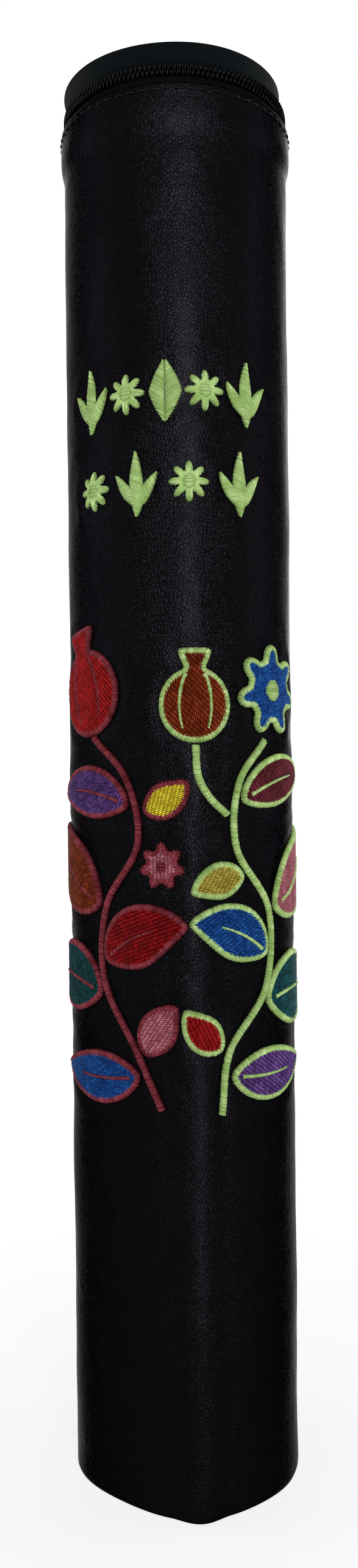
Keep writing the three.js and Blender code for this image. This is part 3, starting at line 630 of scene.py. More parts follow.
class Tree(Nodes):
    """Builds a Geometry Nodes tree with named inputs"""

    def __init__(self, name, inputs):
        super().__init__(bpy.data.node_groups.new(name, "GeometryNodeTree"))
        self.sockets = {}
        face = self.tree.interface
        face.new_socket("Geometry", in_out="INPUT", socket_type="NodeSocketGeometry")
        for title, (kind, default) in inputs.items():
            socket = face.new_socket(title, in_out="INPUT", socket_type="NodeSocket" + kind)
            if default is not None:
                socket.default_value = default
            self.sockets[title] = socket.identifier
        face.new_socket("Geometry", in_out="OUTPUT", socket_type="NodeSocketGeometry")
        self.given = self.node("NodeGroupInput").outputs
        self.exit = self.node("NodeGroupOutput")

    def combine(self, x=0.0, y=0.0, z=0.0):
        return self.node("ShaderNodeCombineXYZ", {"X": x, "Y": y, "Z": z})

    def random(self, low, high):
        """A number for each point, from the seed that is given"""
        return self.node(
            "FunctionNodeRandomValue", {"Seed": self.given["Seed"], 2: low, 3: high},
            data_type="FLOAT",
        ).outputs[1]

    def named(self, name, kind="FLOAT_VECTOR"):
        return self.node(
            "GeometryNodeInputNamedAttribute", {"Name": name}, data_type=kind
        ).outputs["Attribute"]

    def store(self, geometry, name, value):
        return self.node(
            "GeometryNodeStoreNamedAttribute",
            {"Geometry": geometry, "Name": name, "Value": value}, data_type="FLOAT", domain="POINT",
        ).outputs["Geometry"]

    def ring(self, width):
        """A circle as wide as the input of that name"""
        half = self.math("MULTIPLY", self.given[width], 0.5)
        return self.node(
            "GeometryNodeCurvePrimitiveCircle", {"Resolution": self.given["Sides"], "Radius": half}
        ).outputs["Curve"]

    def tube(self, line, ring):
        return self.node(
            "GeometryNodeCurveToMesh", {"Curve": line, "Profile Curve": ring, "Fill Caps": True}
        )

    def place_on_points(self, points, shape, scale):
        """Puts the shape on each point, along its own direction and facing its own way up"""
        turn = self.node(
            "FunctionNodeAxesToRotation",
            {"Primary Axis": self.named("along"), "Secondary Axis": self.named("up")},
            primary_axis="X", secondary_axis="Z",
        )
        return self.node(
            "GeometryNodeInstanceOnPoints",
            {"Points": points, "Instance": shape, "Rotation": turn, "Scale": scale},
        ).outputs["Instances"]

    def clad(self, geometry, material):
        return self.node(
            "GeometryNodeSetMaterial", {"Geometry": geometry, "Material": self.given[material]}
        )

    def finish(self, instances, ground=None):
        realized = self.node("GeometryNodeRealizeInstances", {"Geometry": instances})
        result = self.node(
            "GeometryNodeSetShadeSmooth", {"Geometry": self.clad(realized, "Material")}
        )
        if ground:
            joined = self.node("GeometryNodeJoinGeometry")
            for part in (result, self.clad(ground, "Ground")):
                self.feed(joined.inputs[0], part)
            result = joined
        self.feed(self.exit.inputs[0], result)
        return self


def stitch_tree():
    """Strands of thread on loose points, over the ground given as faces"""
    tree = Tree("Stitches", {
        "Width": ("Float", 0.0004), "Rise": ("Float", 0.0003), "Dip": ("Float", 0.0002),
        "Steps": ("Int", 5), "Sides": ("Int", 5), "Seed": ("Int", 0),
        "Material": ("Material", None), "Ground": ("Material", None),
    })
    split = tree.node(
        "GeometryNodeSeparateGeometry",
        {"Geometry": tree.given["Geometry"], "Selection": tree.named("strand", "BOOLEAN")},
    )
    points = tree.store(split.outputs["Selection"], "shade", tree.random(0.42, 1.0))
    dip = tree.math("MULTIPLY", tree.given["Dip"], -1.0)
    rise = tree.math("MULTIPLY", tree.given["Rise"], 1.33)
    line = tree.node("GeometryNodeCurvePrimitiveBezierSegment", {
        "Resolution": tree.given["Steps"],
        "Start": tree.combine(-0.5, 0.0, dip), "Start Handle": tree.combine(-0.44, 0.0, rise),
        "End Handle": tree.combine(0.44, 0.0, rise), "End": tree.combine(0.5, 0.0, dip),
    })
    factor = tree.node("GeometryNodeSplineParameter").outputs["Factor"]
    line = tree.store(line, "run", factor)
    strand = tree.tube(line, tree.store(tree.ring("Width"), "around", factor))
    length = tree.node(
        "ShaderNodeVectorMath", {0: tree.named("along")}, operation="LENGTH"
    ).outputs["Value"]
    swell = tree.random(0.88, 1.1)
    placed = tree.place_on_points(points, strand, tree.combine(length, swell, swell))
    return tree.finish(placed, split.outputs["Inverted"])


def coil_tree():
    """One loop of a nylon spiral on each point of the chain"""
    tree = Tree("Coil loops", {
        "Wire": ("Float", 0.0005), "Pitch": ("Float", 0.00127),
        "Half Height": ("Float", 0.00085), "Half Depth": ("Float", 0.00045),
        "Steps": ("Int", 14), "Sides": ("Int", 6), "Material": ("Material", None),
    })
    spiral = tree.node("GeometryNodeCurveSpiral", {
        "Resolution": tree.given["Steps"], "Rotations": 1.0, "Start Radius": 1.0,
        "End Radius": 1.0, "Height": tree.given["Pitch"],
    })
    # The spiral's axis is turned from Z to X, its start to the back of the loop
    lying = tree.node(
        "GeometryNodeTransform", {"Geometry": spiral, "Rotation": (0, math.pi / 2, 0)}
    )
    flat = tree.node("GeometryNodeTransform", {
        "Geometry": lying,
        "Scale": tree.combine(1.0, tree.given["Half Height"], tree.given["Half Depth"]),
    })
    loop = tree.tube(flat, tree.ring("Wire"))
    placed = tree.place_on_points(tree.given["Geometry"], loop, tree.combine(1.0, 1.0, 1.0))
    return tree.finish(placed)


TREES = {}


def grow(thing, maker, **values):
    """Runs a tree on an object and keeps the result as its plain mesh"""
    if maker not in TREES:
        TREES[maker] = maker()
    tree = TREES[maker]
    modifier = thing.modifiers.new("Grown", "NODES")
    modifier.node_group = tree.tree
    for title, value in values.items():
        modifier[tree.sockets[title.replace("_", " ")]] = value
    graph = bpy.context.evaluated_depsgraph_get()
    mesh = bpy.data.meshes.new_from_object(
        thing.evaluated_get(graph), preserve_all_data_layers=True, depsgraph=graph
    )
    thing.modifiers.remove(modifier)
    bare = thing.data
    thing.data = mesh
    mesh.name = thing.name
    bpy.data.meshes.remove(bare)
    for name in ("along", "up", "strand"):
        if name in mesh.attributes:
            mesh.attributes.remove(mesh.attributes[name])


class Needlework:
    """Gathers the ground and the strands of one colour, and sews them as one piece"""

    def __init__(self):
        self.points, self.faces = [], []
        self.spots, self.along, self.up = [], [], []

    def ground(self, points, faces):
        first = len(self.points)
        self.points += list(points)
        self.faces += [[first + index for index in face] for face in faces]

    def strands(self, starts, ends, up=None):
        starts, ends = np.asarray(starts, float), np.asarray(ends, float)
        middle = (starts + ends) / 2
        self.spots += list(middle)
        self.along += list(ends - starts)
        self.up += list(outward(middle) if up is None else up)

    def sew(self, name, colour, body="case", *, width, rise, dip, steps, sides):
        thing = make_object(name, np.array(self.points + self.spots), self.faces)
        grounds = len(self.points)
        filler = [(0, 0, 0)] * grounds
        add_vectors(thing, along=np.array(filler + self.along) * MM, up=filler + self.up)
        layer = thing.data.attributes.new("strand", "BOOLEAN", "POINT")
        layer.data.foreach_set("value", [False] * grounds + [True] * len(self.spots))
        look, below = thread_pair(colour)
        grow(
            thing, stitch_tree, Width=width * MM, Rise=rise * MM, Dip=dip * MM, Steps=steps,
            Sides=sides, Seed=setting("scroll_thread").seed, Material=look, Ground=below,
        )
        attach(thing, body)
        return thing


# The materials of each colour of thread, and the colours that are sewn as satin
LOOKS = {}
SATINS = ("lime", "mauve", "black")
BLACK_THREAD = (0.0028, 0.0031, 0.0042)


def thread_pair(colour):
    """The materials of one colour of thread: its strands and what shows between them"""
    if colour not in LOOKS:
        if colour == "black":
            tone = BLACK_THREAD
        else:
            tone = tuple(getattr(setting("scroll_thread"), colour))
        # Satin strands get less painted shade at their ends than the short stitches of a fill
        LOOKS[colour] = (
            thread_look(f"thread_{colour}", tone, 0.5 if colour in SATINS else 0.15).material,
            ground_look(f"thread_{colour}_below", tone).material,
        )
    return LOOKS[colour]


# Paths and patches on the front, in [arc, height above the base]

def heading(degrees):
    """The direction at an angle from straight up, turning to the right"""
    return np.array((math.sin(math.radians(degrees)), math.cos(math.radians(degrees))))


def left_of(direction):
    return np.stack((-direction[..., 1], direction[..., 0]), -1)


def on_picture(shares):
    """Places given as shares of the picture's height"""
    return np.array(shares, float) * PICTURE_HEIGHT + (0, PICTURE_BASE)


def slope(a, b, c, first, second):
    return (b - a) / first - (c - a) / (first + second) + (c - b) / second


def catmull(shares):
    """A centripetal curve through places in the picture"""
    knots = on_picture(shares)
    knots = np.concatenate(([2 * knots[0] - knots[1]], knots, [2 * knots[-1] - knots[-2]]))

    def at(t):
        run = np.clip(np.asarray(t, float), 0, 1) * (len(knots) - 3)
        first = np.minimum(np.floor(run).astype(int), len(knots) - 4)
        weight = (run - first)[..., None]
        p = [knots[first + index] for index in range(4)]
        gaps = [np.linalg.norm(p[i + 1] - p[i], axis=-1, keepdims=True) ** 0.5 for i in range(3)]
        leave = slope(*p[:3], *gaps[:2]) * gaps[1]
        arrive = slope(*p[1:], *gaps[1:]) * gaps[1]
        square = -3 * p[1] + 3 * p[2] - 2 * leave - arrive
        cube = 2 * p[1] - 2 * p[2] + leave + arrive
        return p[1] + leave * weight + square * weight ** 2 + cube * weight ** 3

    return at


def turn_of(path, closed, smooth=2):
    """Unit directions along a path, evened out over a few points"""
    if closed:
        ahead, behind = np.roll(path, -1, 0), np.roll(path, 1, 0)
    else:
        ahead, behind = np.concatenate((path[1:], path[-1:])), np.concatenate((path[:1], path[:-1]))
    direction = ahead - behind
    direction /= np.linalg.norm(direction, axis=1, keepdims=True)
    for _ in range(smooth):
        if closed:
            direction = direction + np.roll(direction, 1, 0) + np.roll(direction, -1, 0)
        else:
            direction[1:-1] = direction[1:-1] + direction[:-2] + direction[2:]
        direction /= np.linalg.norm(direction, axis=1, keepdims=True)
    return direction


def resample(path, pitch, closed):
    """Evenly spaced points along a path"""
    path = np.asarray(path, float)
    if closed:
        path = np.concatenate((path, path[:1]))
    reached = np.append(0, np.cumsum(np.linalg.norm(np.diff(path, axis=0), axis=1)))
    count = max(3, round(reached[-1] / pitch))
    places = np.linspace(0, reached[-1], count + 1)
    if closed:
        places = places[:-1]
    return np.stack([np.interp(places, reached, path[:, axis]) for axis in (0, 1)], 1)


def counter_clockwise(edge):
    x, y = edge[:, 0], edge[:, 1]
    area = 0.5 * np.sum(x * np.roll(y, -1) - y * np.roll(x, -1))
    return edge if area > 0 else edge[::-1]


def patch_edge(spine, breadth, steps=70):
    """The outline of a patch along a spine"""
    t = (1 - np.cos(np.pi * np.linspace(0, 1, steps))) / 2
    middle = spine(t)
    direction = spine(np.minimum(1, t + 0.01)) - spine(np.maximum(0, t - 0.01))
    direction /= np.linalg.norm(direction, axis=1, keepdims=True)
    normal = left_of(direction) * breadth(t)[:, None]
    return counter_clockwise(np.concatenate((middle + normal, (middle - normal)[::-1])))


def inset(edge, distance):
    """The outline moved inwards, without the loops that this makes in sharp corners"""
    fine = resample(edge, 0.25, True)
    moved = fine + left_of(turn_of(fine, True, 0)) * distance
    starts, ends = fine, np.roll(fine, -1, 0)
    legs = ends - starts
    share = np.einsum("ijk,jk->ij", moved[:, None] - starts[None], legs)
    share = np.clip(share / np.maximum((legs ** 2).sum(1), 1e-9), 0, 1)
    near = starts[None] + share[..., None] * legs[None]
    away = np.linalg.norm(moved[:, None] - near, axis=2).min(1)
    return moved[away > distance - 0.06]


def crossings(edge, height):
    """Where a level line crosses an outline, from left to right"""
    ahead = np.roll(edge, -1, 0)
    low, high = edge[:, 1], ahead[:, 1]
    crosses = (low <= height) != (high <= height)
    share = (height - low[crosses]) / (high[crosses] - low[crosses])
    return np.sort(edge[crosses, 0] + share * (ahead[crosses, 0] - edge[crosses, 0]))


def turned(points, degrees):
    angle = math.radians(degrees)
    spin = np.array(((math.cos(angle), math.sin(angle)), (-math.sin(angle), math.cos(angle))))
    return np.asarray(points) @ spin


# How far the needle points of each row move along, as a share of a stitch
ROW_SHIFT = 0.28


def fill_rows(edge, degrees, pitch, stitch):
    """Rows of short stitches across an outline, each row's needle points moved along"""
    level = turned(edge, -degrees)
    starts, ends = [], []
    rows = np.arange(level[:, 1].min() + pitch / 2, level[:, 1].max(), pitch)
    for index, height in enumerate(rows):
        ends_of_row = crossings(level, height)
        for left, right in zip(ends_of_row[::2], ends_of_row[1::2]):
            if right - left < stitch * 0.15:
                continue
            shift = index * ROW_SHIFT
            first = math.ceil((left - shift * stitch) / stitch + 0.2)
            last = math.floor((right - shift * stitch) / stitch - 0.2)
            needles = [(n + shift) * stitch for n in range(first, last + 1)]
            places = [left, *needles, right]
            starts += [(a, height) for a in places[:-1]]
            ends += [(b, height) for b in places[1:]]
    if not starts:
        return np.zeros((0, 2)), np.zeros((0, 2))
    return turned(starts, degrees), turned(ends, degrees)


# Heights of the ends of the strands above the leather, in millimetres
FILL_LEVEL = 0.74
SATIN_LEVEL = 0.35


def cushion(work, edge, pitch, levels, top):
    """A low solid ground under the strands: levels lists [height, share of the outline]"""
    spread = resample(edge, pitch, True)
    centre = spread.mean(0)
    rings = [on_cloth(centre + (spread - centre) * share, height) for height, share in levels]
    poles = on_cloth(centre, levels[0][0]), on_cloth(centre, top)
    work.ground(*capped(np.stack(rings, 1), *poles))


def add_fill(work, edge, degrees):
    """A filled patch: a low cushion of ground with rows of stitches on it"""
    thread = setting("scroll_thread")
    pitch, stitch = thread.fill_pitch / MM, thread.fill_stitch / MM
    cushion(work, edge, 0.9, ((-0.2, 1), (0.3, 1), (0.45, 0.94), (0.6, 0.6), (0.65, 0.25)), 0.67)
    starts, ends = fill_rows(edge, degrees, pitch, stitch)
    rng = np.random.default_rng(thread.seed + len(starts))
    starts = starts + rng.normal(0, 0.02, starts.shape)
    ends = ends + rng.normal(0, 0.02, ends.shape)
    work.strands(on_cloth(starts, FILL_LEVEL), on_cloth(ends, FILL_LEVEL))


def add_satin(work, path, half, closed, slant=0.13, level=SATIN_LEVEL):
    """A raised column of strands laid across a path, with its half width along the way. slant
    is how far the strands' ends lean along the path, as a share of the half width"""
    thread = setting("scroll_thread")
    path = resample(path, thread.satin_pitch / MM, closed)
    half = np.broadcast_to(half, len(path)) if np.ndim(half) == 0 else np.interp(
        np.linspace(0, 1, len(path)), np.linspace(0, 1, len(half)), half
    )
    direction = turn_of(path, closed)
    normal = left_of(direction)
    sides = ((1, -0.3), (0.96, 0.1), (0.62, 0.42), (0, 0.55))
    rings = [
        on_cloth(path + normal * (half * share * 0.92)[:, None], height)
        for share, height in (*sides, *((-share, height) for share, height in sides[2::-1]))
    ]
    work.ground(*tube_body(np.stack(rings, 1), closed))
    rng = np.random.default_rng(thread.seed + len(path))
    uneven = half + rng.normal(0, 0.035, len(path))
    lean = (normal + direction * slant) * uneven[:, None]
    starts, ends = path + lean, path - lean
    work.strands(on_cloth(starts, level), on_cloth(ends, level))


# The motifs of the picture, with the same tables as the solids

STEMS = {
    "left": catmull([(-0.05, 0), (-0.11, 0.12), (-0.2, 0.27), (-0.19, 0.42), (-0.1, 0.56),
                     (-0.13, 0.7), (-0.22, 0.785)]),
    "right": catmull([(0.08, -0.01), (0.1, 0.12), (0.2, 0.25), (0.21, 0.41), (0.12, 0.55),
                      (0.13, 0.69), (0.2, 0.775)]),
    "middle": catmull([(0.098, 0.62), (0.06, 0.655), (0.035, 0.7), (0.03, 0.765)]),
}
STEM_COLOURS = {"left": "mauve", "right": "lime", "middle": "lime"}

# Each leaf: name, stem, place on it, side, length, width, turn, bend, colour, turn of its rows
LEAVES = (
    ("leaf_blue_low", "left", 0.1, 1, 0.26, 0.115, 64, 0.05, "blue", 28),
    ("leaf_teal_left", "left", 0.3, 1, 0.26, 0.155, 60, -0.07, "deep_teal", 88),
    ("leaf_orange_left", "left", 0.5, 1, 0.26, 0.15, 70, 0.09, "orange", 40),
    ("leaf_purple_left", "left", 0.76, 1, 0.25, 0.115, 68, -0.08, "purple", 12),
    ("leaf_pink_low", "left", 0.14, -1, 0.13, 0.09, 62, 0.05, "pink", 0),
    ("leaf_wine_left", "left", 0.37, -1, 0.215, 0.135, 72, 0.1, "deep_red", -35),
    ("leaf_yellow_left", "left", 0.74, -1, 0.118, 0.08, 70, -0.08, "yellow", 20),
    ("leaf_purple_low", "right", 0.1, -1, 0.24, 0.115, 80, -0.05, "purple", 90),
    ("leaf_teal_right", "right", 0.3, -1, 0.26, 0.165, 56, 0.07, "teal", -4),
    ("leaf_pink_right", "right", 0.5, -1, 0.27, 0.155, 68, -0.09, "pink", -28),
    ("leaf_wine_right", "right", 0.78, -1, 0.25, 0.11, 66, 0.08, "wine", 75),
    ("leaf_red_low", "right", 0.16, 1, 0.12, 0.08, 66, 0.05, "red", 60),
    ("leaf_blue_right", "right", 0.4, 1, 0.2, 0.12, 74, -0.1, "blue", -20),
    ("leaf_olive_right", "right", 0.6, 1, 0.125, 0.08, 66, -0.08, "olive", 5),
)


def leaf_shape(stem, at_share, side, length_share, width_share, turn, bend):
    """The spine, the half width and the length of a leaf"""
    spine = STEMS[stem]
    foot, ahead = spine(at_share), spine(at_share + 0.01)
    course = math.atan2(*(ahead - foot)[::-1])
    direction = course + side * math.radians(turn)
    length = length_share * PICTURE_HEIGHT
    half = width_share * PICTURE_HEIGHT / 2
    forward = np.array((math.cos(direction), math.sin(direction)))
    across = left_of(forward)
    away = STEM_WIDTH / 2 + CLEARANCE
    normal = np.array((-math.sin(course), math.cos(course)))
    start = foot + side * away * normal + LEAF_GAP * forward

    def axis(t):
        t = np.asarray(t, float)[..., None]
        return start + length * t * forward + bend * length * 4 * t * (1 - t) * across

    def breadth(t):
        t = np.asarray(t, float)
        swell = np.sin(np.pi * t ** 0.85).clip(0) ** 0.75
        return CLEARANCE + (half - CLEARANCE) * swell

    return axis, breadth, length


def fruit_shape(foot, turn, length_share, width_share):
    """The spine and the half width of a fruit with its crown"""
    length = length_share * PICTURE_HEIGHT
    half = width_share * PICTURE_HEIGHT / 2
    up = heading(-turn)

    def axis(t):
        return foot + (FRUIT_GAP + np.asarray(t, float)[..., None] * length) * up

    def breadth(t):
        t = np.asarray(t, float)
        round_part = np.sqrt(np.maximum(0, 1 - (2 * t / 0.8 - 1) ** 2))
        body = np.maximum(np.where(t > 0.4, 0.3, 0.08), round_part)
        crown = 0.3 + 0.22 * (t - 0.8) / 0.2
        return np.where(t <= 0.8, body, crown) * half

    return axis, breadth


def petal_edge(centre, radius, petals, spread, core, steps=280):
    """The outline of a flower, petals that spread by an angle round a core"""
    angle = np.linspace(0, 360, steps, endpoint=False)
    between = 360 / petals
    apart = np.abs(angle - between * np.round(angle / between)) / spread
    petal = np.where(apart < 1, np.cos(np.minimum(apart, 1) * np.pi / 2) ** 0.6, 0)
    reach = radius * np.maximum(core, petal)
    turn = -np.radians(angle)
    edge = np.asarray(centre) + np.stack((-np.sin(turn) * reach, np.cos(turn) * reach), 1)
    return counter_clockwise(edge)


def add_button(work, centre, radius, level):
    """A small round knob of satin"""
    step = setting("scroll_thread").satin_pitch / MM
    shifts = np.arange(-radius * 0.9, radius * 0.9, step)
    half = np.sqrt(radius ** 2 - shifts ** 2)
    middle = np.asarray(centre) + np.stack((np.zeros(len(shifts)), shifts), 1)
    reach = np.stack((half, np.zeros(len(shifts))), 1)
    heights = level + 0.3 * half / radius
    work.strands(on_cloth(middle - reach, heights), on_cloth(middle + reach, heights))


def finish_motif(work, name, colour, sizes, node=None):
    thing = work.sew(name, colour, **sizes)
    if node:
        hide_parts(node)


# Sizes of the strands of filled patches and of satin, in millimetres
FILL = {"width": 0.47, "rise": 0.14, "dip": 0.34, "steps": 5, "sides": 4}
SATIN = {"width": 0.355, "rise": 0.6, "dip": 0.35, "steps": 6, "sides": 4}


def motif_edges():
    """The outlines of all motifs of the picture with their names and colours"""
    found = []
    for name, stem, at, side, length, width, turn, bend, colour, rows in LEAVES:
        axis, breadth, long = leaf_shape(stem, at, side, length, width, turn, bend)
        edge = patch_edge(axis, breadth)
        veins = [axis(np.linspace(0.1, 0.66, 30))] if long > 22 else []
        found.append((name, edge, colour, STEM_COLOURS[stem], rows, veins))
    for name, foot, turn, length, width, colour, border in (
        ("fruit_red", STEMS["left"](1.0), 12, 0.24, 0.19, "red", "mauve"),
        ("fruit_orange", STEMS["middle"](1.0), 0, 0.2, 0.155, "orange", "lime"),
    ):
        axis, breadth = fruit_shape(foot, turn, length, width)
        t = np.linspace(0.72, 0.16, 40)
        across = turned([(1, 0)], turn)[0]
        veins = [axis(t) + side * 0.42 * breadth(t)[:, None] * across for side in (-1, 1)]
        found.append((name, patch_edge(axis, breadth, 110), colour, border, 80, veins))
    for name, share, place, colour, border in (
        ("blossom_blue", 0.1, (0.225, 0.885), "blue", "lime"),
        ("blossom_pink", 0.052, (-0.045, 0.512), "pink", "mauve"),
    ):
        edge = petal_edge(on_picture(place), share * PICTURE_HEIGHT, 7, 31, 0.7)
        found.append((name, edge, colour, border, 35, []))
    return found


# Each row of ornaments: name, height above the base, and what stands at which azimuth
ORNAMENTS = (
    ("upper", 282.6, (("sprig", -48), ("flower", -26), ("lozenge", -6), ("flower", 13),
                      ("sprig", 35))),
    ("lower", 259.8, (("flower", -47), ("sprig", -21), ("flower", 5), ("sprig", 31))),
)
ORNAMENT_HEIGHT = 16
FLOWER_RADIUS = 5.15
FLOWER_HEART = 1.2
FLOWER_KNOB = 1.75
FLOWER_STEP = 4.2
LOZENGE_HALF = 4.25
LOZENGE_LEAN = math.radians(32)

# Each leaf of a sprig: turn, then foot, length and width as shares of an ornament's height
SPRIG = ((0, -0.5, 1, 0.25), (34, -0.36, 0.62, 0.2), (-34, -0.36, 0.62, 0.2))

# The ground of an ornament: height, and share of the outline
ORNAMENT_LEVELS = ((-0.2, 0.97), (0.2, 0.97), (0.4, 0.85), (0.48, 0.4))


def reach_of(edge, origin, direction):
    """How far a ray from inside an outline goes before it meets the outline"""
    level = turned(edge - origin, -math.degrees(math.atan2(direction[1], direction[0])))
    places = crossings(level, 0.0)
    places = places[places > 0]
    return places.min() if len(places) else 0.0


def add_flower(work, centre):
    edge = petal_edge(centre, FLOWER_RADIUS, 8, 23, 0.55)
    cushion(work, edge, 0.6, ORNAMENT_LEVELS, 0.5)
    starts, ends = [], []
    for angle in np.arange(0, 360, FLOWER_STEP):
        direction = heading(angle)
        reach = reach_of(edge, np.array(centre), direction)
        starts.append(centre + direction * FLOWER_HEART)
        ends.append(centre + direction * reach)
    work.strands(on_cloth(starts, 0.5), on_cloth(ends, 0.2))
    add_button(work, centre, FLOWER_KNOB, 0.45)


def add_lozenge(work, centre):
    angle = np.radians(np.linspace(0, 360, 240, endpoint=False))
    size = (np.abs(np.sin(angle)) ** 1.25 + np.abs(np.cos(angle)) ** 1.25) ** (-1 / 1.25)
    edge = counter_clockwise(np.array(centre) + np.stack(
        (LOZENGE_HALF * size * np.sin(angle), ORNAMENT_HEIGHT / 2 * size * np.cos(angle)), 1
    ))
    cushion(work, edge, 0.6, ORNAMENT_LEVELS, 0.5)
    for side in (-1, 1):
        direction = np.array((side * math.cos(LOZENGE_LEAN), math.sin(LOZENGE_LEAN)))
        starts, ends = [], []
        for shift in np.arange(-7.7, 7.5, 0.4):
            middle = np.array(centre) + (0, shift)
            reach = reach_of(edge, middle, direction)
            if reach > 0.5:
                starts.append(middle)
                ends.append(middle + direction * reach)
        work.strands(on_cloth(starts, 0.45), on_cloth(ends, 0.25))


def add_sprig(work, centre):
    for turn, foot, long, wide in SPRIG:
        length, half = long * ORNAMENT_HEIGHT, wide * ORNAMENT_HEIGHT / 2
        start = np.array(centre) + (0, foot * ORNAMENT_HEIGHT)
        t = np.linspace(0, 1, 40)
        swell = CLEARANCE + (half - CLEARANCE) * np.sin(np.pi * t ** 0.85).clip(0)
        add_satin(work, start + t[:, None] * length * heading(turn), swell, False, slant=0.45)


def seed_points():
    """Points over all motifs, for the soft dents in the leather under and round them"""
    points = []
    for _, edge, *_ in motif_edges():
        spread = resample(edge, 0.8, True)
        centre = spread.mean(0)
        shares = (1, 0.8, 0.6, 0.4, 0.2, 0)
        points += [on_cloth(centre + (spread - centre) * share, 0) for share in shares]
    t = np.linspace(0, 1, 120)
    points += [on_cloth(spine(t), 0) for spine in STEMS.values()]
    for _, middle, places in ORNAMENTS:
        for _, azimuth in places:
            arc = math.radians(azimuth) * CASE_RADIUS
            ring = petal_edge((arc, middle), FLOWER_RADIUS, 8, 45, 0.9, 40)
            points.append(on_cloth(ring, 0))
    return np.concatenate(points)


# The embroidered height of the tube, in millimetres
DENTS_LOW = 90
DENTS_HIGH = 300


def bell(distance, reach):
    return math.exp(-(distance / reach) ** 2)


def skin_relief(points, offsets):
    """Slow unevenness of soft leather, with a dent beside the embroidery and along the hem"""
    flat = points.reshape(-1, 3)
    seeds = seed_points()
    tree = kdtree.KDTree(len(seeds))
    for index, seed in enumerate(seeds):
        tree.insert(Vector(seed), index)
    tree.balance()
    moved = np.zeros(len(flat))
    for index, point in enumerate(flat):
        spot = Vector(point)
        moved[index] = 0.34 * noise.noise(spot / 34) + 0.14 * noise.noise(spot / 11)
        if DENTS_LOW < point[2] < DENTS_HIGH:
            away = tree.find(spot)[2]
            moved[index] *= 1 - 0.8 * bell(away, 3)
            moved[index] += 0.22 * bell(away - 3.4, 2.2)
            moved[index] -= 0.2 * bell(away, 1.5)
    z = flat[:, 2]
    outside = offsets.reshape(-1) > -LEATHER_WALL / 2
    groove = 0.2 * np.exp(-((z - HEM_SEAM) / 0.55) ** 2)
    fade = np.clip((HEM_TOP - z) / 8, 0.15, 1) * np.clip(z / 6, 0.2, 1)
    return np.where(outside, moved * fade - groove, -0.12).reshape(offsets.shape)


# Operators

class ScrollCaseOperator:
    """What the operators share"""

    bl_options = {"REGISTER", "UNDO"}

    def execute(self, _context):
        self.build()
        return {"FINISHED"}


class SCROLLCASE_OT_leather(ScrollCaseOperator, bpy.types.Operator):
    """Wraps the leather round the tube, with its hem, back strip, base and lid"""

    bl_idname = "scrollcase.leather"
    bl_label = "Leather"

    def build(self):
        look = leather_look("leather_black")
        slit = degrees_of(BACK_SLIT)
        azimuths = np.linspace(-180 + slit, 180 - slit, 289)
        inside = -LEATHER_WALL
        outline = rounded(
            [(-TURN_IN, 0), (0, 0), (0, HEM_BOTTOM - 2), (HEM_THICKNESS, HEM_BOTTOM + 1.6),
             (HEM_THICKNESS, HEM_TOP), (inside, HEM_TOP), (inside, LEATHER_WALL),
             (-TURN_IN, LEATHER_WALL)],
            [0.2, EDGE_ROUND, 2.5, 2.5, 1.0, 0.8, 0.2, 0.2], steps=5,
            longest=[2.5, 1.9, 0.7, 1.9, 1, 12, 12, 2.5],
        )
        skin = wall("case_skin", azimuths, outline, False, skin_relief)
        strip_half = degrees_of(STRIP_HALF)
        under, over = CLEARANCE - 0.15, LEATHER_WALL
        strip = wall(
            "seam_strip_skin", np.linspace(180 - strip_half, 180 + strip_half, 25),
            rounded([(under, EDGE_ROUND), (over, EDGE_ROUND), (over, STRIP_TOP),
                     (under, STRIP_TOP)], [0.1, 0.5, 0.5, 0.1], longest=2.6),
            False,
        )
        shares = (0, 0.35, 0.7, 0.985)
        base = disc("base_skin", -TURN_IN - CLEARANCE, [
            *((share, 0) for share in shares), (1, 0.25), (1, 0.95),
            *((share, LEATHER_WALL) for share in shares[::-1]),
        ])
        lid = disc("lid_skin", -LID_INSET, [
            *((share, LID_UNDERSIDE) for share in (0, 0.4, 0.8, 0.99)), (1, 369.45),
            (0.995, 369.85), (0.975, 370.15), (0.94, LID_SEAM_HEIGHT), (0.85, 370.3),
            (0.65, 370.42), (0.4, 370.55), (0.2, 370.6), (0, 370.62),
        ])
        for thing, node, body in (
            (skin, "case_leather", "case"), (strip, "seam_strip", "case"),
            (base, "base_leather", "case"), (lid, "lid_leather", "lid"),
        ):
            settle(thing, body, node, look)


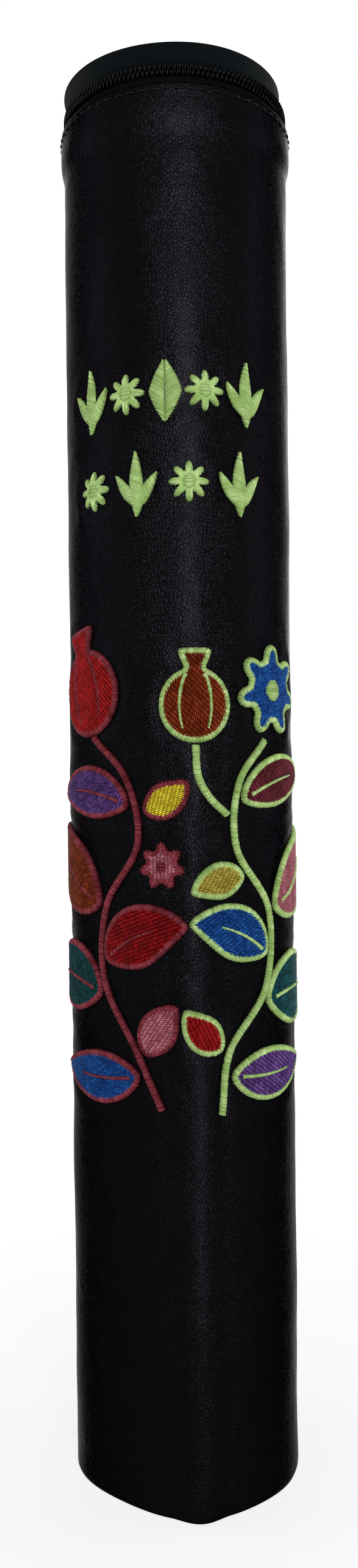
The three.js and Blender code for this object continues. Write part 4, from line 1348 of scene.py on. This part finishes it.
class SCROLLCASE_OT_inside(ScrollCaseOperator, bpy.types.Operator):
    """Lines the tube and the lid, and finishes the boards held inside them"""

    bl_idname = "scrollcase.inside"
    bl_label = "Lining and boards"

    def build(self):
        settings = setting("scroll_leather")
        look = cloth_look("lining_cloth", settings.lining, "Cloth")
        plain = cloth_look("lining_cloth_flat", settings.lining)
        heights = (LINING_FLOOR, *LINING_STEP, LINING_TOP)
        up, down = [
            [(low if z <= LINING_STEP[0] else high, z) for z in heights]
            for low, high in (LINING_OUTSIDE, LINING_INSIDE)
        ]
        outline = rounded(up + down[::-1], [0.1, 0.8, 0.8, 0.25, 0.25, 0.8, 0.8, 0.1], longest=7)

        def slack(points, offsets):
            flat = points.reshape(-1, 3)
            soft = np.array([noise.noise(Vector(point) / 23) for point in flat]) * 0.2 - 0.1
            return soft.reshape(offsets.shape)

        tube = wall("lining_skin", np.arange(120) * 3.0, outline, True, slack)
        floor = disc("base_lining_skin", -4.2, [
            *((share, LINING_FLOOR) for share in (0, 0.5, 0.98)), (1, 4.0), (0.98, 4.35),
            (0.5, 4.4), (0, 4.4),
        ])
        ceiling = disc("lid_lining_skin", -3.9, [
            (0, 365.85), (0.5, 365.9), (0.97, 366.0), (1, 366.3), (0.98, 366.55), (0.5, 366.6),
            (0, 366.6),
        ])
        for thing, node, body, cloth in (
            (tube, "lining", "case", look), (floor, "base_lining", "case", plain),
            (ceiling, "lid_lining", "lid", plain),
        ):
            settle(thing, body, node, cloth)
        board = board_look(settings.board)
        for node in ("stiffener", "base_board", "lid_board"):
            dress(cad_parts[node], board)


def band(low, high, rounds, longest):
    """A flat section of tape between two heights"""
    corners = [(TAPE_INSIDE, low), (TAPE_OUTSIDE, low), (TAPE_OUTSIDE, high), (TAPE_INSIDE, high)]
    return rounded(corners, rounds, longest)


def turned_in(low, over_rim):
    """The corners of a wall that goes up, over the rim and inwards under the lid's leather"""
    end, under = TAPE_OUTSIDE - LID_LAP, RIM_TOP - TAPE_WALL
    return [(TAPE_INSIDE, low), (TAPE_OUTSIDE, low), *over_rim, (end, RIM_TOP), (end, under),
            (TAPE_INSIDE, under)]


def tape_section(low, flare, roll):
    over_rim = ((TAPE_OUTSIDE + flare, RIM_TOP + roll),
                (TAPE_OUTSIDE - 1.4 + flare, RIM_TOP + roll), (TAPE_OUTSIDE - 1.7, RIM_TOP))
    rounds = [0.2, 0.2, 0.7, 0.6, 0.4, 0.2, 0.2, 0.3]
    return rounded(turned_in(low, over_rim), rounds, longest=30, steps=5)


class SCROLLCASE_OT_tapes(ScrollCaseOperator, bpy.types.Operator):
    """Makes the two woven tapes of the zip, and the flexible pieces behind them"""

    bl_idname = "scrollcase.tapes"
    bl_label = "Tapes and hinge"

    def build(self):
        look = cloth_look("zip_tape", setting("scroll_zip").tape, "Cloth")
        reach = GUSSET_START - TAPE_GAP
        half = (CHAIN_END, CHAIN_END + TAPE_GAP, reach)
        corners = (*(-azimuth for azimuth in half[::-1]), *half)
        counts = (14, 3, 200, 3, 14)
        azimuths = np.concatenate([
            np.linspace(a, b, n, endpoint=False)
            for a, b, n in zip(corners, corners[1:], counts)
        ] + [[reach]])
        back = np.clip((np.abs(azimuths) - CHAIN_END) / TAPE_GAP, 0, 1)
        flare = RIM_FLARE * np.cos(np.clip((azimuths + 72) / 80, -1, 1) * math.pi / 2) ** 2
        roll = RIM_ROLL * (1 + 0.25 * np.sin(np.radians(azimuths)))
        upper = np.stack([
            tape_section(UPPER_TAPE_LOW + BACK_RISE * share, out, up)
            for share, out, up in zip(back, flare, roll)
        ])
        lower = np.stack([
            band(TAPE_BOTTOM, LOWER_TAPE_HIGH - BACK_DROP * share, [0.2, 0.2, 0.25, 0.25], 60)
            for share in back
        ])
        for outline, node, body in ((upper, "upper_tape", "lid"), (lower, "lower_tape", "case")):
            thing = wall(f"{node}_cloth", azimuths, outline, False)
            settle(thing, body, node, look)
        self.gusset()
        for side, word in ((1, "right"), (-1, "left")):
            self.tail(side, word, look)

    def gusset(self):
        """The leather strip that the lid swings on"""
        azimuths = np.linspace(GUSSET_START, 360 - GUSSET_START, 31)
        corners = turned_in(TAPE_BOTTOM, [(TAPE_OUTSIDE, RIM_TOP)])
        outline = rounded(corners, [0.2, 0.2, 1, 0.2, 0.2, 0.3], longest=0.7)
        thing = wall("hinge_gusset_skin", azimuths, outline, False)
        dress(thing, leather_look("leather_hinge"))
        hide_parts("hinge_gusset")
        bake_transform(thing)

    def tail(self, side, word, look):
        """The bare ends of the two tapes behind the chain, with the slit between them"""
        azimuths = np.linspace(CHAIN_END + 2 * TAPE_GAP, GUSSET_START - TAPE_GAP, 27) * side
        ends = Needlework()
        for low, high, longest in TAIL_BANDS:
            outline = band(low, high, [0.15] * 4, longest)
            spread = np.repeat(azimuths[:, None], len(outline), 1)
            ends.ground(*tube_body(on_tube(spread, outline[:, 0], outline[:, 1]), False))
        thing = make_object(f"zip_tail_{word}_cloth", ends.points, ends.faces)
        unroll(thing)
        dress(thing, look)
        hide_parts(f"zip_tail_{word}")
        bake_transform(thing)


class SCROLLCASE_OT_coils(ScrollCaseOperator, bpy.types.Operator):
    """Winds the two meshed nylon coils of the zip"""

    bl_idname = "scrollcase.coils"
    bl_label = "Coils"

    def build(self):
        zip_settings = setting("scroll_zip")
        look = nylon_look(zip_settings.nylon)
        pitch = zip_settings.tooth_pitch / MM
        count = round(2 * math.radians(CHAIN_END) * CASE_RADIUS / pitch)
        step = 2 * CHAIN_END / count
        for side, word, body in ((-1, "lower", "case"), (1, "upper", "lid")):
            azimuths = -CHAIN_END + (np.arange(count - 1) + (0.25 if side < 0 else 0.75)) * step
            z = CHAIN_MIDDLE + side * COIL_SHIFT
            points = on_tube(azimuths, COIL_OFFSET, z)
            ahead = on_tube(azimuths + 0.1, COIL_OFFSET, z) - points
            ahead /= np.linalg.norm(ahead, axis=1, keepdims=True)
            thing = make_object(f"{word}_coil_loops", points, [])
            add_vectors(thing, along=ahead, up=outward(points))
            grow(
                thing, coil_tree, Wire=zip_settings.wire, Material=look.material,
                Pitch=step * math.pi / 180 * (CASE_RADIUS + COIL_OFFSET) * MM,
                Half_Height=LOOP_HALF_HEIGHT * MM, Half_Depth=LOOP_HALF_DEPTH * MM,
            )
            settle(thing, body, f"{word}_coil")


class SCROLLCASE_OT_slider(ScrollCaseOperator, bpy.types.Operator):
    """Rounds the edges of the slider, its crown and its pull tab"""

    bl_idname = "scrollcase.slider"
    bl_label = "Slider"

    def build(self):
        look = metal_look(setting("scroll_zip").metal)
        for node, body in (
            ("slider_body", "slider"), ("slider_crown", "slider"), ("pull_tab", "pull_tab"),
        ):
            thing = new_object(f"{node}_smooth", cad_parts[node].data.copy())
            thing.data.materials.clear()
            merge = thing.modifiers.new("Merge", "WELD")
            merge.merge_threshold = METAL_MERGE
            bevel = thing.modifiers.new("Edges", "BEVEL")
            bevel.width = METAL_ROUND
            bevel.segments = 3
            bevel.limit_method = "ANGLE"
            bevel.angle_limit = math.radians(35)
            graph = bpy.context.evaluated_depsgraph_get()
            mesh = bpy.data.meshes.new_from_object(thing.evaluated_get(graph), depsgraph=graph)
            thing.modifiers.clear()
            thing.data = mesh
            shade_smooth(mesh)
            settle(thing, body, node, look)


class SCROLLCASE_OT_sewing(ScrollCaseOperator, bpy.types.Operator):
    """Sews the hem, the back strip, the lid, the coils and the ends of the zip"""

    bl_idname = "scrollcase.sewing"
    bl_label = "Sewing"

    def build(self):
        leather = setting("scroll_leather")
        pitch, stitch = leather.stitch_pitch / MM, leather.stitch / MM
        offset = HEM_THICKNESS + STITCH_LIFT
        work = self.around(-HEM_SEAM_END, HEM_SEAM_END, offset, HEM_SEAM, pitch, stitch)
        self.keep(work, "hem_stitches")
        work = Needlework()
        for side in (-1, 1):
            heights = np.arange(*BACK_SEAM, pitch)
            azimuth, offset = 180 + side * degrees_of(STRIP_SEAM), LEATHER_WALL + STITCH_LIFT
            work.strands(*[on_tube(azimuth, offset, z) for z in (heights, heights + stitch)])
        self.keep(work, "back_stitches")
        angles = np.linspace(0, 360, 54, endpoint=False)
        spread = np.degrees(stitch / LID_SEAM_RADIUS)
        rings = [
            round_axis(azimuth, LID_SEAM_RADIUS, LID_SEAM_HEIGHT)
            for azimuth in (angles, angles + spread)
        ]
        work = Needlework()
        work.strands(*rings, up=np.broadcast_to((0.0, 0.0, 1.0), rings[0].shape))
        self.keep(work, "lid_stitches", "lid")
        for side, word, body in ((1, "upper", "lid"), (-1, "lower", "case")):
            z = CHAIN_MIDDLE + side * COIL_SEAM
            work = self.around(
                -CHAIN_END, CHAIN_END, TAPE_OUTSIDE + 0.12, z, COIL_STITCH_PITCH, COIL_STITCH
            )
            self.keep(work, f"{word}_coil_stitches", body, 0.3, 0.16)
        for side, word in ((1, "right"), (-1, "left")):
            heights = np.arange(*TACK_HEIGHTS, 0.36)
            middle = side * (GUSSET_START - degrees_of(0.4))
            half = degrees_of(0.55)
            work = Needlework()
            work.strands(*[on_tube(middle + end, -0.95, heights) for end in (-half, half)])
            thing = self.keep(work, f"end_tack_{word}_thread", "case", 0.36, 0.3)
            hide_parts(f"end_tack_{word}")

    def around(self, start, end, offset, z, pitch, stitch):
        step = degrees_of(pitch)
        azimuths = np.arange(start, end - step, step)
        far = azimuths + degrees_of(stitch)
        work = Needlework()
        work.strands(on_tube(azimuths, offset, z), on_tube(far, offset, z))
        return work

    def keep(self, work, name, body="case", width=0.42, rise=0.2):
        return work.sew(name, "black", body, width=width, rise=rise, dip=0.35, steps=5, sides=6)


class SCROLLCASE_OT_picture(ScrollCaseOperator, bpy.types.Operator):
    """Embroiders the stems, leaves, fruits and blossoms, each filled patch with a satin edge"""

    bl_idname = "scrollcase.picture"
    bl_label = "Embroidered picture"

    def build(self):
        half = setting("scroll_thread").edge_width / MM / 2
        borders = {"lime": Needlework(), "mauve": Needlework()}
        for name, edge, colour, border, rows, veins in motif_edges():
            work = Needlework()
            add_fill(work, inset(edge, half * 1.25), rows)
            finish_motif(work, f"{name}_fill", colour, FILL, name)
            add_satin(borders[border], inset(edge, half), half, True)
            for vein in veins:
                add_satin(borders[border], vein, np.linspace(0.62, 0.3, 30), False, level=0.6)
            if name.startswith("blossom"):
                span = np.ptp(edge[:, 0])
                add_button(borders[border], edge.mean(0), span * 0.12, 0.55)
        for border, work in borders.items():
            finish_motif(work, f"edges_{border}", border, SATIN)
        for name, spine in STEMS.items():
            work = Needlework()
            add_satin(work, spine(np.linspace(0, 1, 160)), STEM_WIDTH / 2, False)
            finish_motif(work, f"stem_{name}_satin", STEM_COLOURS[name], SATIN, f"stem_{name}")


class SCROLLCASE_OT_ornaments(ScrollCaseOperator, bpy.types.Operator):
    """Embroiders the two rows of small ornaments in satin stitch"""

    bl_idname = "scrollcase.ornaments"
    bl_label = "Ornaments"

    def build(self):
        makers = {"flower": add_flower, "lozenge": add_lozenge, "sprig": add_sprig}
        for row, middle, places in ORNAMENTS:
            for index, (kind, azimuth) in enumerate(places):
                work = Needlework()
                makers[kind](work, (math.radians(azimuth) * CASE_RADIUS, middle))
                node = f"ornament_{row}_{index + 1}"
                finish_motif(work, f"{node}_satin", "lime", SATIN, node)


class SCROLLCASE_OT_stage(ScrollCaseOperator, bpy.types.Operator):
    """Lays the pale floor, and sets the camera and the soft studio lights"""

    bl_idname = "scrollcase.stage"
    bl_label = "Stage"

    def build(self):
        stage = setting("scroll_stage")
        scene = bpy.context.scene
        scene.view_settings.view_transform = "Standard"
        self.floor()
        self.world(stage.ambient)
        camera = new_object("Camera", bpy.data.cameras.new("Camera"))
        camera.data.lens = stage.lens
        camera.data.clip_start = 0.01
        camera.location = (-0.0006, -stage.distance, stage.height)
        camera.rotation_euler = (math.pi / 2, stage.roll, 0)
        scene.camera = camera
        for name, place, aim, size, power in (
            ("Key", (0.07, -0.62, 0.36), 0.2, (0.26, 0.42), stage.key),
            ("Card", (0.05, -0.6, 0.36), 0.2, (0.32, 0.5), stage.shine),
            ("LowCard", (0.055, -0.19, 0.035), 0.08, (0.07, 0.09), stage.low_shine),
            ("Left", (-0.75, 0.1, 0.45), 0.18, (0.5, 0.7), stage.side),
            ("Right", (0.75, 0.1, 0.45), 0.18, (0.5, 0.7), stage.side),
            ("Back", (0.1, 0.8, 0.5), 0.2, (0.6, 0.6), stage.side),
        ):
            lamp = self.lamp(name, place, aim, size, power)
            lamp.visible_diffuse = "Card" not in name

    def floor(self):
        spots = 64
        turn = np.radians(np.arange(spots) * 360 / spots)
        rings = [
            np.stack((radius * np.sin(turn), radius * np.cos(turn), np.zeros(spots)), 1)
            for radius in (150, 400, 1200, 6000)
        ]
        middle = len(rings) * spots
        faces = [[a, d, c, b] for a, b, c, d in grid_faces(len(rings), spots, False, True)]
        faces += [[middle, (spot + 1) % spots, spot] for spot in range(spots)]
        floor = make_object("Floor", np.concatenate((*rings, [[0, 0, 0]])), faces)
        look = Look("Floor", (0.82, 0.82, 0.82), 0.9, Specular_IOR_Level=0.0)
        place = look.node("ShaderNodeTexCoord").outputs["Object"]
        distance = look.node("ShaderNodeVectorMath", {0: place}, operation="LENGTH")
        far = look.ranged(distance.outputs["Value"], 0.035, 0.18, 0.8, 1)
        glow = look.node("ShaderNodeEmission", {"Strength": 1.0})
        look.show("Material Output", look.math("MULTIPLY", look.seen(), far), look.shader, glow)
        dress(floor, look)

    def world(self, ambient):
        world = bpy.data.worlds.new("Studio")
        bpy.context.scene.world = world
        world.use_nodes = True
        sky = Nodes(world.node_tree)
        even, white = sky.tree.nodes["Background"], sky.node("ShaderNodeBackground")
        for background, strength in ((even, ambient), (white, 1)):
            sky.feed(background.inputs["Color"], (1, 1, 1, 1))
            sky.feed(background.inputs["Strength"], strength)
        sky.show("World Output", sky.seen(), even, white)

    def lamp(self, name, place, aim, size, power):
        """A soft light that points at a height on the case's axis"""
        lamp = new_object(name, bpy.data.lights.new(name, "AREA"))
        lamp.data.shape = "RECTANGLE"
        lamp.data.size, lamp.data.size_y = size
        lamp.data.energy = power
        lamp.location = place
        towards = Vector((0, 0, aim)) - Vector(place)
        lamp.rotation_euler = towards.to_track_quat("-Z", "Y").to_euler()
        return lamp


OPERATORS = (
    SCROLLCASE_OT_leather, SCROLLCASE_OT_inside, SCROLLCASE_OT_tapes, SCROLLCASE_OT_coils,
    SCROLLCASE_OT_slider, SCROLLCASE_OT_sewing, SCROLLCASE_OT_picture, SCROLLCASE_OT_ornaments,
    SCROLLCASE_OT_stage,
)


class SCROLLCASE_PT_panel(bpy.types.Panel):
    """Lists the pieces of the case and their settings"""

    bl_idname = "SCROLLCASE_PT_panel"
    bl_label = "Scroll case"
    bl_space_type = "VIEW_3D"
    bl_region_type = "UI"
    bl_category = "Scroll case"

    def draw(self, context):
        for operator in OPERATORS:
            self.layout.operator(operator.bl_idname)
        for group, kind in SETTINGS.items():
            box = self.layout.box()
            box.label(text=kind.__doc__)
            for name in kind.__annotations__:
                box.prop(getattr(context.scene, group), name)


def register():
    for kind in (*SETTINGS.values(), *OPERATORS, SCROLLCASE_PT_panel):
        bpy.utils.register_class(kind)
    for group, kind in SETTINGS.items():
        setattr(bpy.types.Scene, group, PointerProperty(type=kind))


def unregister():
    for group in SETTINGS:
        delattr(bpy.types.Scene, group)
    for kind in (SCROLLCASE_PT_panel, *reversed(OPERATORS), *reversed(SETTINGS.values())):
        bpy.utils.unregister_class(kind)


def main():
    register()
    for operator in OPERATORS:
        group, name = operator.bl_idname.split(".")
        getattr(getattr(bpy.ops, group), name)()


if __name__ == "__main__":
    main()
